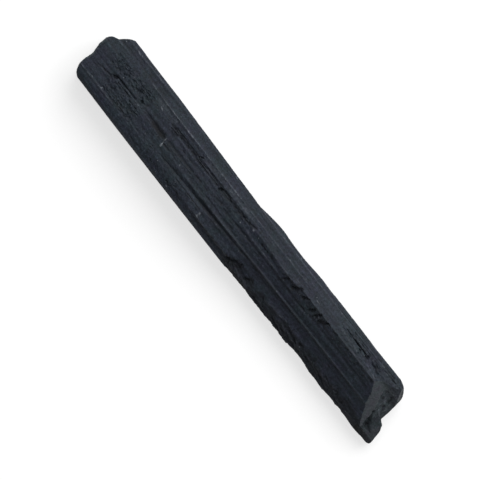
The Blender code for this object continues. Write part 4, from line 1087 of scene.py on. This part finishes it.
print("Finding the hollows, scuffs and fresh faces")
finishedKeys, places = pointKeys(finished)
places[:, 0] += crystal["listMiddle"]
endFace = ~np.isin(finishedKeys, grownKeys)
fromStrip = np.abs(steppedExcess(places)[1] - steppedEnd["swell"])
rubbed = masks["rubbedEnd"] * softStep(places[:, 1], *masks["rubbedFrom"])
rubbed = rubbed * (places[:, 0] > crystal["endFrom"])
# the smooth strip: a fresh break, glossier, with a paler tint that is partly a painted sheen
freshSheen = endFace * softStep(fromStrip, *masks["freshWithin"]) * softStep(places[:, 1], *masks["freshSide"])
# the stub's foot loses the end's paler tint, so that it stays dark as painted shade
setAttribute(finished, "endFace", endFace * (1 - shadedStubFoot(places)) * (1 - rubbed))
setAttribute(finished, "freshSheen", freshSheen)
# hollow: painted shade in grooves, pits, patch pits, the pocket and on the stub
setAttribute(finished, "hollow", paintedShadeMask(places))
# scuffs, scars and specks, with painted highlights on ridges and veils of painted light
setAttribute(finished, "scuffedAndHighlit", scuffAndHighlightMask(places))

print("Giving the stone its look")
finished.materials.clear()
finished.materials.append(blackTourmaline())
finished.shade_smooth()
finished.set_sharp_from_angle(angle=math.radians(skin["sharpAngle"]))
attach(crystalSkin, "root")
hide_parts("crystal")

print("Laying it on the table")
# A white table, lit a little from beneath so that the shadow stays pale
table = {
    "reach": 2.0,
    "color": (0.36, 0.36, 0.36, 1),
    "roughness": 0.8,
    "glow": 0.66,
}
reach = table["reach"]
floorMesh = bpy.data.meshes.new("floor")
corners = [(-reach, -reach, 0), (reach, -reach, 0), (reach, reach, 0), (-reach, reach, 0)]
floorMesh.from_pydata(corners, [], [(0, 1, 2, 3)])
floor = addObject("floor", floorMesh)
floorMaterial = bpy.data.materials.new("paleTable")
floorMaterial.use_nodes = True
floorShader = floorMaterial.node_tree.nodes["Principled BSDF"]
floorShader.inputs["Base Color"].default_value = table["color"]
floorShader.inputs["Roughness"].default_value = table["roughness"]
floorShader.inputs["Emission Color"].default_value = (1, 1, 1, 1)
floorShader.inputs["Emission Strength"].default_value = table["glow"]
floorMesh.materials.append(floorMaterial)

studio = {
    "cameraHeight": 1.4,
    "focusHeight": 6,           # millimetres; the picture's width is measured here
    "viewWidth": 79.47,         # millimetres across the picture
    "viewMiddle": (0.25, -1.0),
    "viewRoll": 51.86,
    "viewReach": 10,
    "sensor": 36,
    "keyPower": 3.8,
    "keyPlace": (-0.05, 0.38, 0.54),
    "keySize": 0.55,
    "skyTowards": (-0.2, 0.85, 0.3),
    "skyDark": 0.05,
    "skyBright": 0.77,
}


def addSoftbox(name, place, size, power):
    lamp = bpy.data.lights.new(name, "AREA")
    lamp.size = size
    lamp.energy = power
    made = addObject(name, lamp)
    made.location = place
    made.rotation_euler = (-Vector(place)).to_track_quat("-Z", "Y").to_euler()


def addCamera():
    camera = addObject("camera", bpy.data.cameras.new("camera"))
    middleX, middleY = studio["viewMiddle"]
    distance = studio["cameraHeight"] / mm - studio["focusHeight"]
    camera.data.sensor_width = studio["sensor"]
    camera.data.lens = studio["sensor"] * distance / studio["viewWidth"]
    camera.data.clip_end = studio["viewReach"]
    camera.location = ((middleX - crystal["listMiddle"]) * mm, middleY * mm, studio["cameraHeight"])
    camera.rotation_euler = (0, 0, math.radians(studio["viewRoll"]))
    bpy.context.scene.camera = camera


def addSky():
    world = bpy.data.worlds.new("studio")
    world.use_nodes = True
    tree = world.node_tree
    direction = addNode(tree, "ShaderNodeTexCoord").outputs["Generated"]
    towards = Vector(studio["skyTowards"]).normalized()
    facing = addNode(tree, "ShaderNodeVectorMath", {0: direction, 1: towards}, operation="DOT_PRODUCT")
    strength = spread(tree, facing.outputs["Value"], (-1, 1), (studio["skyDark"], studio["skyBright"]))
    tree.links.new(strength, tree.nodes["Background"].inputs["Strength"])
    tree.nodes["Background"].inputs["Color"].default_value = (1, 1, 1, 1)
    bpy.context.scene.world = world


print("Setting up the studio")
addCamera()
addSoftbox("keySoftbox", studio["keyPlace"], studio["keySize"], studio["keyPower"])
addSky()
bpy.context.scene.view_settings.view_transform = "Standard"
